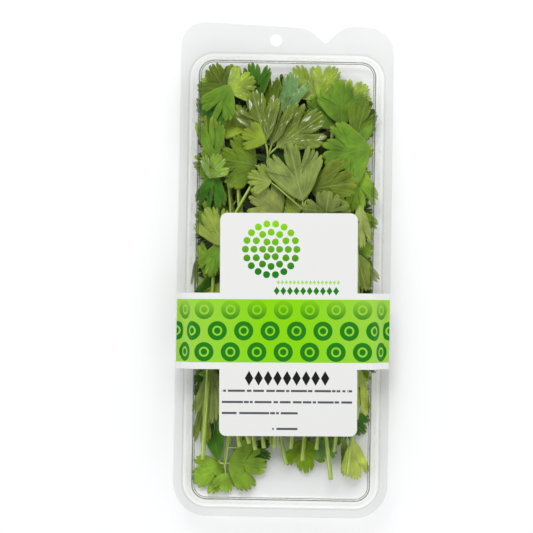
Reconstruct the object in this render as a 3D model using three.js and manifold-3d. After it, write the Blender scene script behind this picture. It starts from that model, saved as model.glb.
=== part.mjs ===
// A retail pack of cut coriander: a bunch of leafy stems lying loose in a clear
// thermoformed clamshell, with a paper label across the lid.
//
// Frame: millimetres, +Z up. The pack lies on its back, with its hanging hole towards +Y
// and its long fold on the -X side. The origin is below the middle of its outline, on the
// surface that it rests on.

import * as THREE from "three";
import { mergeVertices } from "three/addons/utils/BufferGeometryUtils.js";
import Module from "manifold-3d";

const wasm = await Module();
wasm.setup();

// ---- Driving dimensions ----
const packHalfWidth = 54;
const packHalfLength = 125;
const sheet = 0.5; // wall of both clear halves
const trayFlangeTop = 12.5;
const flangeGap = 0.3; // between the two flanges when the pack is shut
const lidFlangeBottom = trayFlangeTop + flangeGap;

// The well is a rounded rectangle at every height: its half width is d, its half length is
// d + wellLonger, and its corner radius is d - cornerInset, so all its outlines run parallel.
const wellCentreY = -5.5;
const wellLonger = 65.5;
const cornerInset = 37;
const cornerSteps = 4;

const hangHole = { x: -6, y: 116.4, radius: 3.2 };
const lugs = { radius: 2.6, inset: 45.5, bottom: 14.2, top: 18, along: [-80, -65, 27, 65, 80] };

const paper = 0.25; // label thickness
const paperGap = 0.1;
const labelCentreX = 2.6;
const labelHalfWidth = 34.4;
const labelTopY = 28;
const labelBottomY = -83.4;
const labelRoll = 0.7; // degrees, stuck on a little askew
const labelCorner = 3.5;
const bandTopY = -12.1;
const bandBottomY = -50.2;

const bladeThickness = 0.7;
const clearance = 0.25; // left between one sprig and the next

// ---- Colours ----
const clearPlastic = { color: 0xe9ecea, roughness: 0.12, metalness: 0, transparent: true, opacity: 0.3 };
const labelPaper = { color: 0xf1f2ef, roughness: 0.55, metalness: 0 };
const leafColours = { green: 0x4d8a2c, dark: 0x35702a, olive: 0x76964a, lime: 0x8cb03c };
const leafFinish = (tone) => ({ color: leafColours[tone], roughness: 0.5, metalness: 0 });

// ---- Solids ----
function solidOf(geometry) {
  const bare = geometry.clone();
  bare.deleteAttribute("normal");
  bare.deleteAttribute("uv");
  const merged = mergeVertices(bare, 1e-4);
  return new wasm.Manifold(
    new wasm.Mesh({
      numProp: 3,
      vertProperties: merged.attributes.position.array,
      triVerts: new Uint32Array(merged.index.array),
    }),
  );
}

function solidFrom(points, triangles) {
  const geometry = new THREE.BufferGeometry();
  geometry.setAttribute("position", new THREE.Float32BufferAttribute(points.flat(), 3));
  geometry.setIndex(triangles.flat());
  return solidOf(geometry);
}

function meshOf(name, solid, finish) {
  const made = solid.getMesh();
  const geometry = new THREE.BufferGeometry();
  geometry.setAttribute("position", new THREE.BufferAttribute(made.vertProperties, 3));
  geometry.setIndex(new THREE.BufferAttribute(made.triVerts, 1));
  geometry.computeVertexNormals();
  const mesh = new THREE.Mesh(geometry, new THREE.MeshStandardMaterial(finish));
  mesh.name = name;
  return mesh;
}

function plate(shape, bottom, thickness, curveSegments) {
  const geometry = new THREE.ExtrudeGeometry(shape, {
    depth: thickness,
    bevelEnabled: false,
    curveSegments,
  });
  return solidOf(geometry.translate(0, 0, bottom));
}

// ---- Clear halves ----
// One outline of the well, half width d wide, at height z.
function wellRing(d, z) {
  const radius = d - cornerInset;
  const points = [];
  const corners = [
    [1, -1, -90],
    [1, 1, 0],
    [-1, 1, 90],
    [-1, -1, 180],
  ];
  for (const [sideX, sideY, from] of corners) {
    for (let i = 0; i <= cornerSteps; i += 1) {
      const angle = THREE.MathUtils.degToRad(from + (90 * i) / cornerSteps);
      const x = sideX * (d - radius) + radius * Math.cos(angle);
      const y = sideY * (d + wellLonger - radius) + radius * Math.sin(angle);
      points.push([x, y + wellCentreY, z]);
    }
  }
  return points;
}

// A filled solid whose side follows the profile, a list of [half width, height].
function wellSolid(profile) {
  const rings = profile.map(([d, z]) => wellRing(d, z));
  const count = rings[0].length;
  const last = (rings.length - 1) * count;
  const upwards = profile.at(-1)[1] > profile[0][1];
  const triangles = [];
  for (let ring = 0; ring < rings.length - 1; ring += 1) {
    for (let i = 0; i < count; i += 1) {
      const a = ring * count + i;
      const b = ring * count + ((i + 1) % count);
      triangles.push([a, b, b + count], [a, b + count, a + count]);
    }
  }
  for (let i = 1; i < count - 1; i += 1) {
    triangles.push([0, i + 1, i], [last, last + i, last + i + 1]);
  }
  const facing = upwards ? triangles : triangles.map(([a, b, c]) => [a, c, b]);
  return solidFrom(rings.flat(), facing);
}

// The same profile moved in by the sheet's thickness. It starts a little beyond the rim, so
// that cutting it away leaves the half open.
function insideOf(profile, rimZ) {
  const direction = Math.sign(profile.at(-1)[1] - profile[0][1]);
  const path = [[profile[0][0], profile[0][1] - direction], ...profile, [0, profile.at(-1)[1]]];
  const normals = path.slice(1).map(([d, z], i) => {
    const along = [d - path[i][0], z - path[i][1]];
    const length = Math.hypot(...along);
    return [(-along[1] / length) * direction, (along[0] / length) * direction];
  });
  const moved = profile.map(([d, z], i) => {
    const [n1, n2] = [normals[i], normals[i + 1]];
    const share = sheet / (1 + n1[0] * n2[0] + n1[1] * n2[1]);
    return [d + (n1[0] + n2[0]) * share, z + (n1[1] + n2[1]) * share];
  });
  return [[moved[0][0], rimZ - 0.2 * direction], ...moved.slice(1)];
}

// The outline that both flanges share: a wide tab with the hanging hole at the top, and a
// finger tab beside it past a V-shaped notch.
function flangeShape() {
  const [w, h] = [packHalfWidth, packHalfLength];
  const shape = new THREE.Shape();
  shape.moveTo(17 - w, -h);
  shape.lineTo(w - 17, -h);
  shape.absarc(w - 17, 17 - h, 17, -Math.PI / 2, 0, false);
  shape.lineTo(w, h - 15.2);
  shape.absarc(w - 14, h - 15.2, 14, 0, Math.PI / 2, false);
  shape.lineTo(34, h - 1.2);
  shape.quadraticCurveTo(29, h - 1.2, 26, h - 4);
  shape.lineTo(19.8, h - 9.9);
  shape.lineTo(18.4, h - 9.9);
  shape.lineTo(15.4, h - 7);
  shape.quadraticCurveTo(11, h - 2.7, 6, h - 2.1);
  shape.lineTo(12 - w, h);
  shape.absarc(12 - w, h - 12, 12, Math.PI / 2, Math.PI, false);
  shape.lineTo(-w, 17 - h);
  shape.absarc(17 - w, 17 - h, 17, Math.PI, 1.5 * Math.PI, false);
  const hole = new THREE.Path();
  hole.absarc(hangHole.x, hangHole.y, hangHole.radius, 0, 2 * Math.PI, true);
  shape.holes.push(hole);
  return shape;
}

const trayProfile = [
  [50, trayFlangeTop],
  [49.6, 10.6],
  [48.4, 10.1],
  [46.3, 1.2],
  [45.4, 0],
  [41.4, 0],
  [40.5, 0.9],
];

const lidProfile = [
  [50, lidFlangeBottom],
  [49.4, 14.6],
  [48.3, 15.1],
  [47.5, 15.8],
  [45.4, 21.2],
  [44.9, 22],
  [44.1, 22.4],
  [43.1, 22.4],
  [42.5, 22],
];

function tray() {
  const flange = plate(flangeShape(), trayFlangeTop - sheet, sheet, 8);
  const solid = wellSolid(trayProfile).add(flange);
  return meshOf("tray", solid.subtract(wellSolid(insideOf(trayProfile, trayFlangeTop))), clearPlastic);
}

// Small round lugs down both long walls of the lid, which keep stacked lids apart.
function lugPosts(radius, bottom, top) {
  const posts = [];
  for (const side of [-1, 1]) {
    for (const along of lugs.along) {
      const post = new THREE.CylinderGeometry(radius * 0.85, radius, top - bottom, 8);
      post.rotateX(Math.PI / 2);
      post.translate(side * lugs.inset, along + wellCentreY, (top + bottom) / 2);
      posts.push(solidOf(post));
    }
  }
  return posts;
}

function lid() {
  const flange = plate(flangeShape(), lidFlangeBottom, sheet, 8);
  const joined = (posts, body) => posts.reduce((all, post) => all.add(post), body);
  const outside = joined(lugPosts(lugs.radius, lugs.bottom, lugs.top), wellSolid(lidProfile).add(flange));
  const hollows = lugPosts(lugs.radius - sheet, lugs.bottom - 1, lugs.top - sheet);
  const inside = joined(hollows, wellSolid(insideOf(lidProfile, lidFlangeBottom)));
  return meshOf("lid", outside.subtract(inside), clearPlastic);
}

// ---- Label ----
// The band's underside across half the lid: over the rim of its panel, taut down to its
// flange, and flat on that.
const bandUnderside = [
  [42, 22 + paperGap],
  [42.9, 22.4 + paperGap],
  [44.3, 22.4 + paperGap],
  [45.3, 21.9],
  [51.3, 13.3 + paperGap],
  [53.8, 13.3 + paperGap],
];

function label() {
  const left = bandUnderside.map(([x, z]) => [-x, z]).reverse();
  const under = [...left, ...bandUnderside];
  const over = under.map(([x, z], i) => {
    const before = under[Math.max(i - 1, 0)];
    const after = under[Math.min(i + 1, under.length - 1)];
    const along = [after[0] - before[0], after[1] - before[1]];
    const share = paper / Math.hypot(...along);
    return [x - along[1] * share, z + along[0] * share];
  });
  const section = new THREE.Shape([...under, ...over.reverse()].map(([x, z]) => new THREE.Vector2(x, z)));
  const band = new THREE.ExtrudeGeometry(section, { depth: bandTopY - bandBottomY, bevelEnabled: false });
  band.rotateX(Math.PI / 2).translate(0, bandTopY, 0);
  const skew = Math.tan((labelRoll * Math.PI) / 180);
  band.applyMatrix4(new THREE.Matrix4().makeShear(skew, 0, 0, 0, 0, 0));

  const panel = new THREE.Shape();
  const [w, r] = [labelHalfWidth - labelCorner, labelCorner];
  const [low, high] = [labelBottomY + r, labelTopY - r];
  panel.absarc(labelCentreX + w, low, r, -Math.PI / 2, 0, false);
  panel.absarc(labelCentreX + w, high, r, 0, Math.PI / 2, false);
  panel.absarc(labelCentreX - w, high, r, Math.PI / 2, Math.PI, false);
  panel.absarc(labelCentreX - w, low, r, Math.PI, 1.5 * Math.PI, false);
  const centreY = (labelTopY + labelBottomY) / 2;
  const askew = plate(panel, 22 + paperGap, paper, 6)
    .translate([-labelCentreX, -centreY, 0])
    .rotate([0, 0, labelRoll])
    .translate([labelCentreX, centreY, 0]);
  return meshOf("label", askew.add(solidOf(band)), labelPaper);
}

// ---- Coriander ----
// A leaflet is a fan: wedge-shaped at its stalk, with three lobes cut into teeth. Its base is
// at [x, y], heading is in degrees from +X, size is its length, and its stalk leaves the stem
// at mm below the stem's tip. spread is half its fan in degrees, reach is as far out as it may
// come, stiff is how much of it lies free of the pile before it is bent, and the rest are
// shares of its size.
function leaflet(at, x, y, heading, size, shape = {}) {
  const outline = { teeth: 7, spread: 60, cuts: 0.15, lobes: 0.34, reach: 45 };
  const form = { bend: 0.06, fold: 0.1, wave: 0.05, stiff: 0.8 };
  return { at, x, y, heading, size, ...outline, ...form, ...shape };
}

// The sprigs on top, from the lowest one up. stem is the way it lies, from its cut end to
// the tip that the leaflets grow from.
const placedSprigs = [
  {
    tone: "dark",
    stem: [[-29, -86], [-34, -45], [-36, -10], [-35, 17]],
    leaflets: [
      leaflet(14, -45, 5, -92, 15, { spread: 10, teeth: 3, reach: 47.5 }),
      leaflet(20, -39, -1, -94, 18, { spread: 42 }),
      leaflet(2, -35, 17, 200, 12.5, { spread: 58, teeth: 5 }),
    ],
  },
  {
    tone: "dark",
    stem: [[30, -88], [34, -40], [36, -5], [37, 16]],
    leaflets: [
      leaflet(4, 38.5, 11, -92, 21, { spread: 40 }),
      leaflet(0, 41, 31, -66, 13, { spread: 42, teeth: 5, reach: 47.5 }),
    ],
  },
  {
    tone: "lime",
    stem: [[32, -90], [37, -40], [40, -8], [41, 6]],
    leaflets: [
      leaflet(2, 38, 10, -74, 12, { spread: 36 }),
      leaflet(0, 43, 9, -76, 19, { spread: 34, reach: 48 }),
    ],
  },
  {
    tone: "lime",
    stem: [[-18, -50], [-25, -76], [-28.5, -99]],
    leaflets: [
      leaflet(8, -17, -91, -28, 12.5),
      leaflet(0, -31, -99, 103, 25, { spread: 22, teeth: 5 }),
      leaflet(0, -29, -101, 205, 17, { spread: 56, fold: 0.03 }),
      leaflet(0, -28, -104, -88, 10, { spread: 62, fold: 0.03 }),
      leaflet(0, -27, -99, -6, 19, { spread: 66, fold: 0.03, teeth: 9 }),
    ],
  },
  {
    tone: "green",
    stem: [[-30, -24], [-34, -34], [-36, -42]],
    leaflets: [
      leaflet(3, -40.5, -65, -93, 24, { spread: 16, teeth: 5 }),
      leaflet(4, -38, -40, -93, 24, { spread: 32 }),
      leaflet(2, -33.5, -60, -80, 19, { spread: 34 }),
      leaflet(0, -37, -50, -91, 27, { spread: 28, bend: 0.02 }),
    ],
  },
  {
    tone: "green",
    stem: [[8, -50], [9, -66], [11, -84]],
    leaflets: [leaflet(0, 11.5, -86, -84, 17, { spread: 58 }), leaflet(4, 20, -86, -50, 11)],
  },
  {
    tone: "lime",
    stem: [[36, -20], [40, -32], [41, -42]],
    leaflets: [
      leaflet(2, 35.5, -74, -48, 12),
      leaflet(6, 44, -42, -74, 14, { spread: 42, reach: 48 }),
      leaflet(0, 40.5, -49, -90, 26, { spread: 19, teeth: 5 }),
    ],
  },
  {
    tone: "lime",
    stem: [[26, -56], [30, -70], [34, -82]],
    leaflets: [
      leaflet(1, 31.5, -84, -82, 21, { spread: 11, teeth: 3, fold: 0.2 }),
      leaflet(0, 36.5, -85, -85, 21, { spread: 28, fold: 0.12 }),
    ],
  },
  {
    tone: "lime",
    stem: [[5, -91], [9, -40], [10, 10], [7, 50], [2, 72]],
    leaflets: [
      leaflet(3, 15, 90, 124, 20, { spread: 46 }),
      leaflet(3, 16.5, 87, 66, 19, { spread: 40 }),
      leaflet(0, -0.5, 79, 82, 21, { spread: 36, fold: 0.25, bend: 0.02 }),
    ],
  },
  {
    tone: "dark",
    stem: [[-8.6, -91], [-15, -40], [-20, 10], [-24, 36], [-22, 62], [-14, 80]],
    leaflets: [
      leaflet(2, -8, 83, 95, 15, { spread: 34, teeth: 5 }),
      leaflet(0, -14.5, 86, 104, 19, { spread: 42 }),
      leaflet(14, -33, 66, 52, 20, { spread: 36 }),
    ],
  },
  {
    tone: "green",
    stem: [[18, -91], [23, -40], [26, 20], [26, 50], [27, 68]],
    leaflets: [
      leaflet(1, 31, 85, 50, 14.5, { spread: 52 }),
      leaflet(3, 24, 72, 124, 19, { spread: 46 }),
      leaflet(0, 28.4, 74, 92, 22, { spread: 50, fold: 0.05 }),
    ],
  },
  {
    tone: "green",
    stem: [[27, -92], [32, -30], [33, 30], [37, 60]],
    leaflets: [
      leaflet(4, 42, 56, -90, 25, { spread: 36, reach: 47 }),
      leaflet(1, 39, 65, 76, 21, { spread: 30, fold: 0.2, reach: 46.5 }),
      leaflet(0, 43, 63, -165, 24, { spread: 62, fold: 0.04, reach: 46 }),
    ],
  },
  {
    tone: "lime",
    stem: [[-21, -90], [-27, -40], [-27, 20], [-29, 44], [-33, 70], [-31, 86]],
    leaflets: [
      leaflet(36, -42.5, 52, 146, 10, { spread: 52, teeth: 5, reach: 47.2 }),
      leaflet(18, -38.5, 68, 100, 24, { spread: 32, teeth: 5, reach: 46 }),
      leaflet(0, -32.7, 89, 122, 18, { spread: 60, bend: 0.12 }),
      leaflet(1, -30, 90, 28, 14.5, { spread: 58 }),
      leaflet(2, -29, 93, -117, 19, { spread: 42, teeth: 5 }),
    ],
  },
  {
    tone: "green",
    stem: [[-13, -92], [-22, -40], [-28, 0], [-26, 28], [-16, 43], [-13, 50]],
    leaflets: [leaflet(0, -14.5, 53, 172, 19.5, { spread: 70, fold: 0.04, teeth: 9 })],
  },
  {
    tone: "olive",
    stem: [[3, -99], [-5, -60], [-12, 10], [-9, 40], [-9, 58]],
    leaflets: [
      leaflet(0, -5.1, 62, 35, 27, { spread: 38, bend: 0.02 }),
      leaflet(0, -7.5, 63, 76, 22, { spread: 24, teeth: 5 }),
      leaflet(0, -10.5, 64, 105, 25, { spread: 38, wave: 0.07, lobes: 0.44 }),
      leaflet(2, -10, 64, 158, 13, { spread: 46, fold: 0.15 }),
    ],
  },
  {
    tone: "green",
    stem: [[-39.5, -97], [-37, -40], [-35, 20], [-34, 38], [-37, 48]],
    leaflets: [
      leaflet(3, -39, 50, -97, 20, { spread: 34, teeth: 5, reach: 46 }),
      leaflet(1, -42, 57, 97, 20, { spread: 24, teeth: 5, reach: 46.5 }),
      leaflet(0, -37, 53, 96, 21, { spread: 28, fold: 0.2, teeth: 5 }),
      leaflet(2, -39, 46, 62, 12, { wave: 0.1 }),
    ],
  },
  {
    tone: "olive",
    stem: [[-3.5, -91], [0, -40], [4, 0], [3, 22]],
    leaflets: [leaflet(0, 5.5, 27, 112, 11), leaflet(0, -1.5, 28, 140, 19, { spread: 56 })],
  },
  {
    tone: "olive",
    stem: [[11, -97], [15, -40], [15, 0], [9.5, 31]],
    leaflets: [
      leaflet(0, 12, 41, 8, 23, { spread: 48 }),
      leaflet(1, -7, 44, 166, 12),
      leaflet(0, 8.9, 34.3, 104, 29, { spread: 42, lobes: 0.46, teeth: 9, fold: 0.06, bend: 0.03 }),
    ],
  },
  {
    tone: "olive",
    stem: [[25.6, -106], [20, -60], [20, 0], [20, 16]],
    leaflets: [leaflet(3, 17, 14, 172, 13), leaflet(0, 20, 22, 84, 17, { spread: 66 })],
  },
  {
    tone: "olive",
    stem: [[-16, -88], [-30, -40], [-31, -10], [-30, 8]],
    leaflets: [
      leaflet(3, -33.5, 13, -104, 17, { spread: 36 }),
      leaflet(0, -31, 10.5, 117, 21, { spread: 38, reach: 45.5 }),
    ],
  },
  {
    tone: "lime",
    stem: [[34, -104], [37.5, -60], [37.5, -10], [36, 27]],
    leaflets: [leaflet(0, 39.5, 34, -87, 22, { spread: 22, fold: 0.15 })],
  },
];

// Repeatable random numbers from 0 to 1.
function randomFrom(seed) {
  let state = seed;
  return () => {
    state = (Math.imul(state, 1664525) + 1013904223) >>> 0;
    return state / 4294967296;
  };
}

// The sprigs underneath: flatter leaves, with their tips spread over the leafy end of the
// well.
const hiddenSprigs = { count: 9, seed: 20 };

function drawnSprigs() {
  const random = randomFrom(hiddenSprigs.seed);
  const between = (low, high) => low + (high - low) * random();
  const flat = { bend: 0.02, fold: 0.04, wave: 0.03, stiff: 0.6 };
  const sprigs = [];
  for (let i = 0; i < hiddenSprigs.count; i += 1) {
    const column = (i % 3) - 1;
    const row = Math.floor(i / 3);
    const tip = [column * 27 + between(-4, 4), 24 + row * 27 + between(-4, 4)];
    const foot = [column * 20 + (row - 1) * between(5, 7), between(-92, -86)];
    const middle = [(tip[0] + foot[0]) / 2 + between(-4, 4), (tip[1] + foot[1]) / 2];
    const heading = 90 - column * 8 + between(-10, 10);
    const leaflets = [leaflet(0, tip[0], tip[1] + 2, heading, between(18, 21), flat)];
    for (const [down, side] of [[4, -1], [4, 1], [20, 1 - 2 * (i % 2)]]) {
      const turn = heading + side * between(60, 85);
      const reach = between(4, 6);
      const x = tip[0] + reach * Math.cos(THREE.MathUtils.degToRad(turn));
      const y = tip[1] + 1 - down + reach * Math.sin(THREE.MathUtils.degToRad(turn));
      leaflets.push(leaflet(down, x, y, turn, between(15, 18), flat));
    }
    sprigs.push({ tone: "dark", stem: [foot, middle, tip], leaflets });
  }
  return sprigs;
}

// The outline of a leaflet round its base, as [length along, distance left of] the midrib.
function bladeOutline(leaf) {
  const steps = 2 * leaf.teeth;
  const lobeCut = 2 * Math.round(leaf.teeth / 3);
  const points = [[0, 0]];
  for (let i = 0; i <= steps; i += 1) {
    const angle = THREE.MathUtils.degToRad(leaf.spread) * ((2 * i) / steps - 1);
    const reach = leaf.size * (0.8 + 0.2 * Math.cos((angle * 90) / leaf.spread));
    const cut = i % 2 ? 0 : i === lobeCut || i === steps - lobeCut ? leaf.lobes : leaf.cuts;
    points.push([reach * (1 - cut) * Math.cos(angle), reach * (1 - cut) * Math.sin(angle)]);
  }
  return points;
}

// How far a leaflet's blade stands above its base, from its own bend, fold and waves.
function bladeHeight(leaf, along, left) {
  const out = Math.hypot(along, left) / leaf.size;
  const angle = Math.atan2(left, along);
  const phase = THREE.MathUtils.degToRad(leaf.heading);
  const ripple = leaf.wave * out * out * Math.sin(4 * angle + phase);
  return leaf.size * (leaf.bend * out * out + leaf.fold * out * Math.abs(Math.sin(angle)) + ripple);
}

// ---- The pile ----
// The sprigs are laid one on another. A grid of 1 mm cells holds how high the pile stands,
// and each new piece is bent clear of it.
const cellsX = 2 * packHalfWidth;
const cellsY = 2 * packHalfLength;
const trayInside = insideOf(trayProfile, trayFlangeTop);

// Half width of the well outline that passes through a point.
function outlineThrough(x, y) {
  const [ax, ay] = [Math.abs(x), Math.abs(y - wellCentreY) - wellLonger];
  const [dx, dy] = [ax - cornerInset, ay - cornerInset];
  return dx > 0 && dy > 0 ? cornerInset + Math.hypot(dx, dy) : Math.max(ax, ay);
}

function trayFloor(x, y) {
  const d = outlineThrough(x, y);
  for (let i = 1; i < trayInside.length; i += 1) {
    const [d1, z1] = trayInside[i - 1];
    const [d2, z2] = trayInside[i];
    if (d >= d2) return z2 + ((z1 - z2) * Math.min(d - d2, d1 - d2)) / (d1 - d2 || 1);
  }
  return trayInside.at(-1)[1];
}

function emptyPile() {
  const pile = new Float64Array(cellsX * cellsY);
  for (let j = 0; j < cellsY; j += 1) {
    for (let i = 0; i < cellsX; i += 1) {
      pile[j * cellsX + i] = trayFloor(i + 0.5 - packHalfWidth, j + 0.5 - packHalfLength);
    }
  }
  return pile;
}

const cellAt = (x, y) => (Math.floor(y) + packHalfLength) * cellsX + Math.floor(x) + packHalfWidth;

// The highest of the cells round a point.
function highest(pile, x, y, around) {
  const centre = cellAt(x, y);
  let top = 0;
  for (let dy = -around; dy <= around; dy += 1) {
    for (let dx = -around; dx <= around; dx += 1) top = Math.max(top, pile[centre + dy * cellsX + dx]);
  }
  return top;
}

function raise(pile, [x, y, z]) {
  const centre = cellAt(x, y);
  for (const row of [-cellsX, 0, cellsX]) {
    for (let i = centre + row - 1; i <= centre + row + 1; i += 1) pile[i] = Math.max(pile[i], z);
  }
}

// Weights that spread points over a triangle about 0.7 mm apart.
function spreadWeights(a, b, c) {
  const longest = Math.max(Math.hypot(b[0] - a[0], b[1] - a[1]), Math.hypot(c[0] - a[0], c[1] - a[1]));
  const steps = Math.ceil(longest / 0.7);
  const weights = [];
  for (let i = 0; i <= steps; i += 1) {
    for (let j = 0; j <= steps - i; j += 1) weights.push([1 - (i + j) / steps, i / steps, j / steps]);
  }
  return weights;
}

const mixed = (corners, weights, k) => corners.reduce((sum, corner, i) => sum + corner[k] * weights[i], 0);

function bladeFacets(count) {
  const facets = [];
  for (let i = 1; i < count; i += 1) facets.push([0, i, i === count - 1 ? 1 : i + 1]);
  return facets;
}

const tiltLimit = 0.28;
const bendPasses = 10;
const settle = 0.25; // that a blade sinks in each pass, where nothing holds it up

// Lays a leaflet on the pile: moved in from the walls, tilted to what it lies on, sunk as far
// as its own form allows on most of its area, and bent up where something is in its way.
function layLeaflet(leaf, pile) {
  const turn = THREE.MathUtils.degToRad(leaf.heading);
  const [c, s] = [Math.cos(turn), Math.sin(turn)];
  const flat = [[leaf.size * 0.42, 0], ...bladeOutline(leaf)];
  const plan = flat.map(([along, left]) => [leaf.x + along * c - left * s, leaf.y + along * s + left * c]);
  const over = [0, 0];
  for (const [x, y] of plan) {
    const dx = Math.abs(x) - leaf.reach;
    const dy = Math.abs(y - wellCentreY) - leaf.reach - wellLonger;
    if (dx > Math.abs(over[0])) over[0] = dx * Math.sign(x);
    if (dy > Math.abs(over[1])) over[1] = dy * Math.sign(y - wellCentreY);
  }
  const moved = plan.map(([x, y]) => [x - over[0], y - over[1]]);

  const reach = leaf.size * 0.75;
  const aside = reach * Math.sin(THREE.MathUtils.degToRad(leaf.spread));
  const under = (along, left) => {
    const x = leaf.x - over[0] + along * c - left * s;
    const y = leaf.y - over[1] + along * s + left * c;
    return highest(pile, x, y, 2);
  };
  const slope = (from, to, run) => THREE.MathUtils.clamp((to - from) / run, -tiltLimit, tiltLimit);
  const pitch = slope(under(0, 0), under(reach, 0), reach);
  const roll = slope(under(reach / 2, -aside), under(reach / 2, aside), 2 * aside);
  const points = moved.map(([x, y], i) => {
    const [along, left] = flat[i];
    return [x, y, pitch * along + roll * left + bladeHeight(leaf, along, left)];
  });

  const samples = bladeFacets(points.length).flatMap((facet) => {
    const corners = facet.map((i) => points[i]);
    return spreadWeights(...corners).map((weights) => {
      const [x, y, z] = [0, 1, 2].map((k) => mixed(corners, weights, k));
      const needed = pile[cellAt(x, y)] + bladeThickness / 2 + clearance;
      const pull = weights.reduce((sum, weight) => sum + weight * weight, 0);
      return { facet, weights, needed, pull, short: needed - z };
    });
  });
  const shorts = samples.map(({ short }) => short).sort((a, b) => a - b);
  const sink = shorts[Math.floor((shorts.length - 1) * leaf.stiff)];
  let lifts = points.map(() => sink);
  for (let pass = 1; pass <= bendPasses; pass += 1) {
    lifts = evened(lifts).map((lift) => lift - settle);
    const raises = lifts.map(() => 0);
    for (const { facet, weights, needed, pull } of samples) {
      const z = facet.reduce((sum, index, i) => sum + (points[index][2] + lifts[index]) * weights[i], 0);
      const short = (needed - z) * (pass < bendPasses ? 0.6 : 1);
      facet.forEach((index, i) => {
        raises[index] = Math.max(raises[index], (short * weights[i]) / pull);
      });
    }
    lifts = lifts.map((lift, i) => lift + raises[i]);
  }
  leaf.points = points.map(([x, y, z], i) => [x, y, z + lifts[i]]);
}

// Half way from each value to the mean of those beside it. The first is in the middle of the
// ring that the others form.
function evened(values) {
  const [inner, ...ring] = values;
  const mean = ring.reduce((sum, value) => sum + value, 0) / ring.length;
  const round = ring.map((value, i) => {
    const beside = (ring.at(i - 1) + ring[(i + 1) % ring.length] + inner) / 3;
    return (value + beside) / 2;
  });
  return [(inner + mean) / 2, ...round];
}

function bladeSolid(leaf) {
  const count = leaf.points.length;
  const half = bladeThickness / 2;
  const level = (offset) => leaf.points.map(([x, y, z]) => [x, y, z + offset]);
  const facets = bladeFacets(count);
  const triangles = [...facets, ...facets.map(([a, b, c]) => [a + count, c + count, b + count])];
  for (const [, i, next] of facets) {
    triangles.push([i, i + count, next + count], [i, next + count, next]);
  }
  return solidFrom([...level(half), ...level(-half)], triangles);
}

// Marks a leaflet on the pile, but for what lies within bare of its base.
function stampLeaflet(leaf, pile, bare) {
  const [, base] = leaf.points;
  for (const facet of bladeFacets(leaf.points.length)) {
    const corners = facet.map((i) => leaf.points[i]);
    for (const weights of spreadWeights(...corners)) {
      const [x, y, z] = [0, 1, 2].map((k) => mixed(corners, weights, k));
      if (Math.hypot(x - base[0], y - base[1]) >= bare) raise(pile, [x, y, z + bladeThickness / 2]);
    }
  }
}

// A round stalk through points [x, y, z, radius], closed at both ends.
function stalkSolid(path, sides) {
  const points = [];
  path.forEach(([x, y, z, radius], i) => {
    const before = path[Math.max(i - 1, 0)];
    const after = path[Math.min(i + 1, path.length - 1)];
    const [from, to] = [before, after].map((point) => new THREE.Vector3(...point));
    const along = to.sub(from).normalize();
    const across = new THREE.Vector3(0, 0, 1).cross(along).normalize();
    const rim = new THREE.Vector3(x, y, z).addScaledVector(across, radius);
    for (let k = 0; k < sides; k += 1) {
      const point = rim.clone().sub(new THREE.Vector3(x, y, z));
      point.applyAxisAngle(along, (2 * Math.PI * k) / sides);
      points.push([x + point.x, y + point.y, z + point.z]);
    }
  });
  const triangles = [];
  for (let i = 0; i < path.length - 1; i += 1) {
    for (let k = 0; k < sides; k += 1) {
      const a = i * sides + k;
      const b = i * sides + ((k + 1) % sides);
      triangles.push([a, b, b + sides], [a, b + sides, a + sides]);
    }
  }
  const last = (path.length - 1) * sides;
  for (let k = 1; k < sides - 1; k += 1) triangles.push([0, k + 1, k], [last, last + k, last + k + 1]);
  return solidFrom(points, triangles);
}

const stemRadius = { foot: 1.15, tip: 0.75, stalk: 0.5 };
const stemStep = 15; // about this far between the rings of a stem
const bareTip = 3; // of a stem, which its own leaflets needn't clear

// Lays a stalk along [x, y] points, each at the height in heights or as high as the pile makes
// it.
function layStalk(route, heights, radii, pile) {
  const radiusAt = (i) => radii[0] + ((radii[1] - radii[0]) * i) / (route.length - 1);
  const needed = route.map((point, i) => {
    const next = route[i + 1] ?? point;
    let top = 0;
    for (let k = 0; k <= 20; k += 1) {
      const [x, y] = [0, 1].map((n) => point[n] + ((next[n] - point[n]) * k) / 20);
      top = Math.max(top, highest(pile, x, y, 1));
    }
    return top + radiusAt(i) + clearance;
  });
  return route.map(([x, y], i) => [x, y, Math.max(heights[i], needed[i], needed[i - 1] ?? 0), radiusAt(i)]);
}

// Evenly spaced points on a smooth curve through [x, y] points.
function smoothRoute(points, step) {
  const curve = new THREE.CatmullRomCurve3(points.map(([x, y]) => new THREE.Vector3(x, y, 0)));
  const count = Math.max(2, Math.round(curve.getLength() / step));
  return curve.getSpacedPoints(count).map(({ x, y }) => [x, y]);
}

// The point of a laid stem that lies a distance below its tip.
function stemPoint(path, distance) {
  let left = distance;
  for (let i = path.length - 1; i > 0; i -= 1) {
    const length = Math.hypot(path[i][0] - path[i - 1][0], path[i][1] - path[i - 1][1]);
    if (left <= length) return path[i].map((value, k) => value + ((path[i - 1][k] - value) * left) / length);
    left -= length;
  }
  return path[0];
}

function stampStalk(path, pile) {
  for (let i = 1; i < path.length; i += 1) {
    const length = Math.hypot(path[i][0] - path[i - 1][0], path[i][1] - path[i - 1][1]);
    const steps = Math.ceil(length / 0.7) + 1;
    for (let k = 0; k <= steps; k += 1) {
      const [x, y, z, radius] = path[i].map((value, n) => value + ((path[i - 1][n] - value) * k) / steps);
      raise(pile, [x, y, z + radius]);
    }
  }
}

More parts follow.
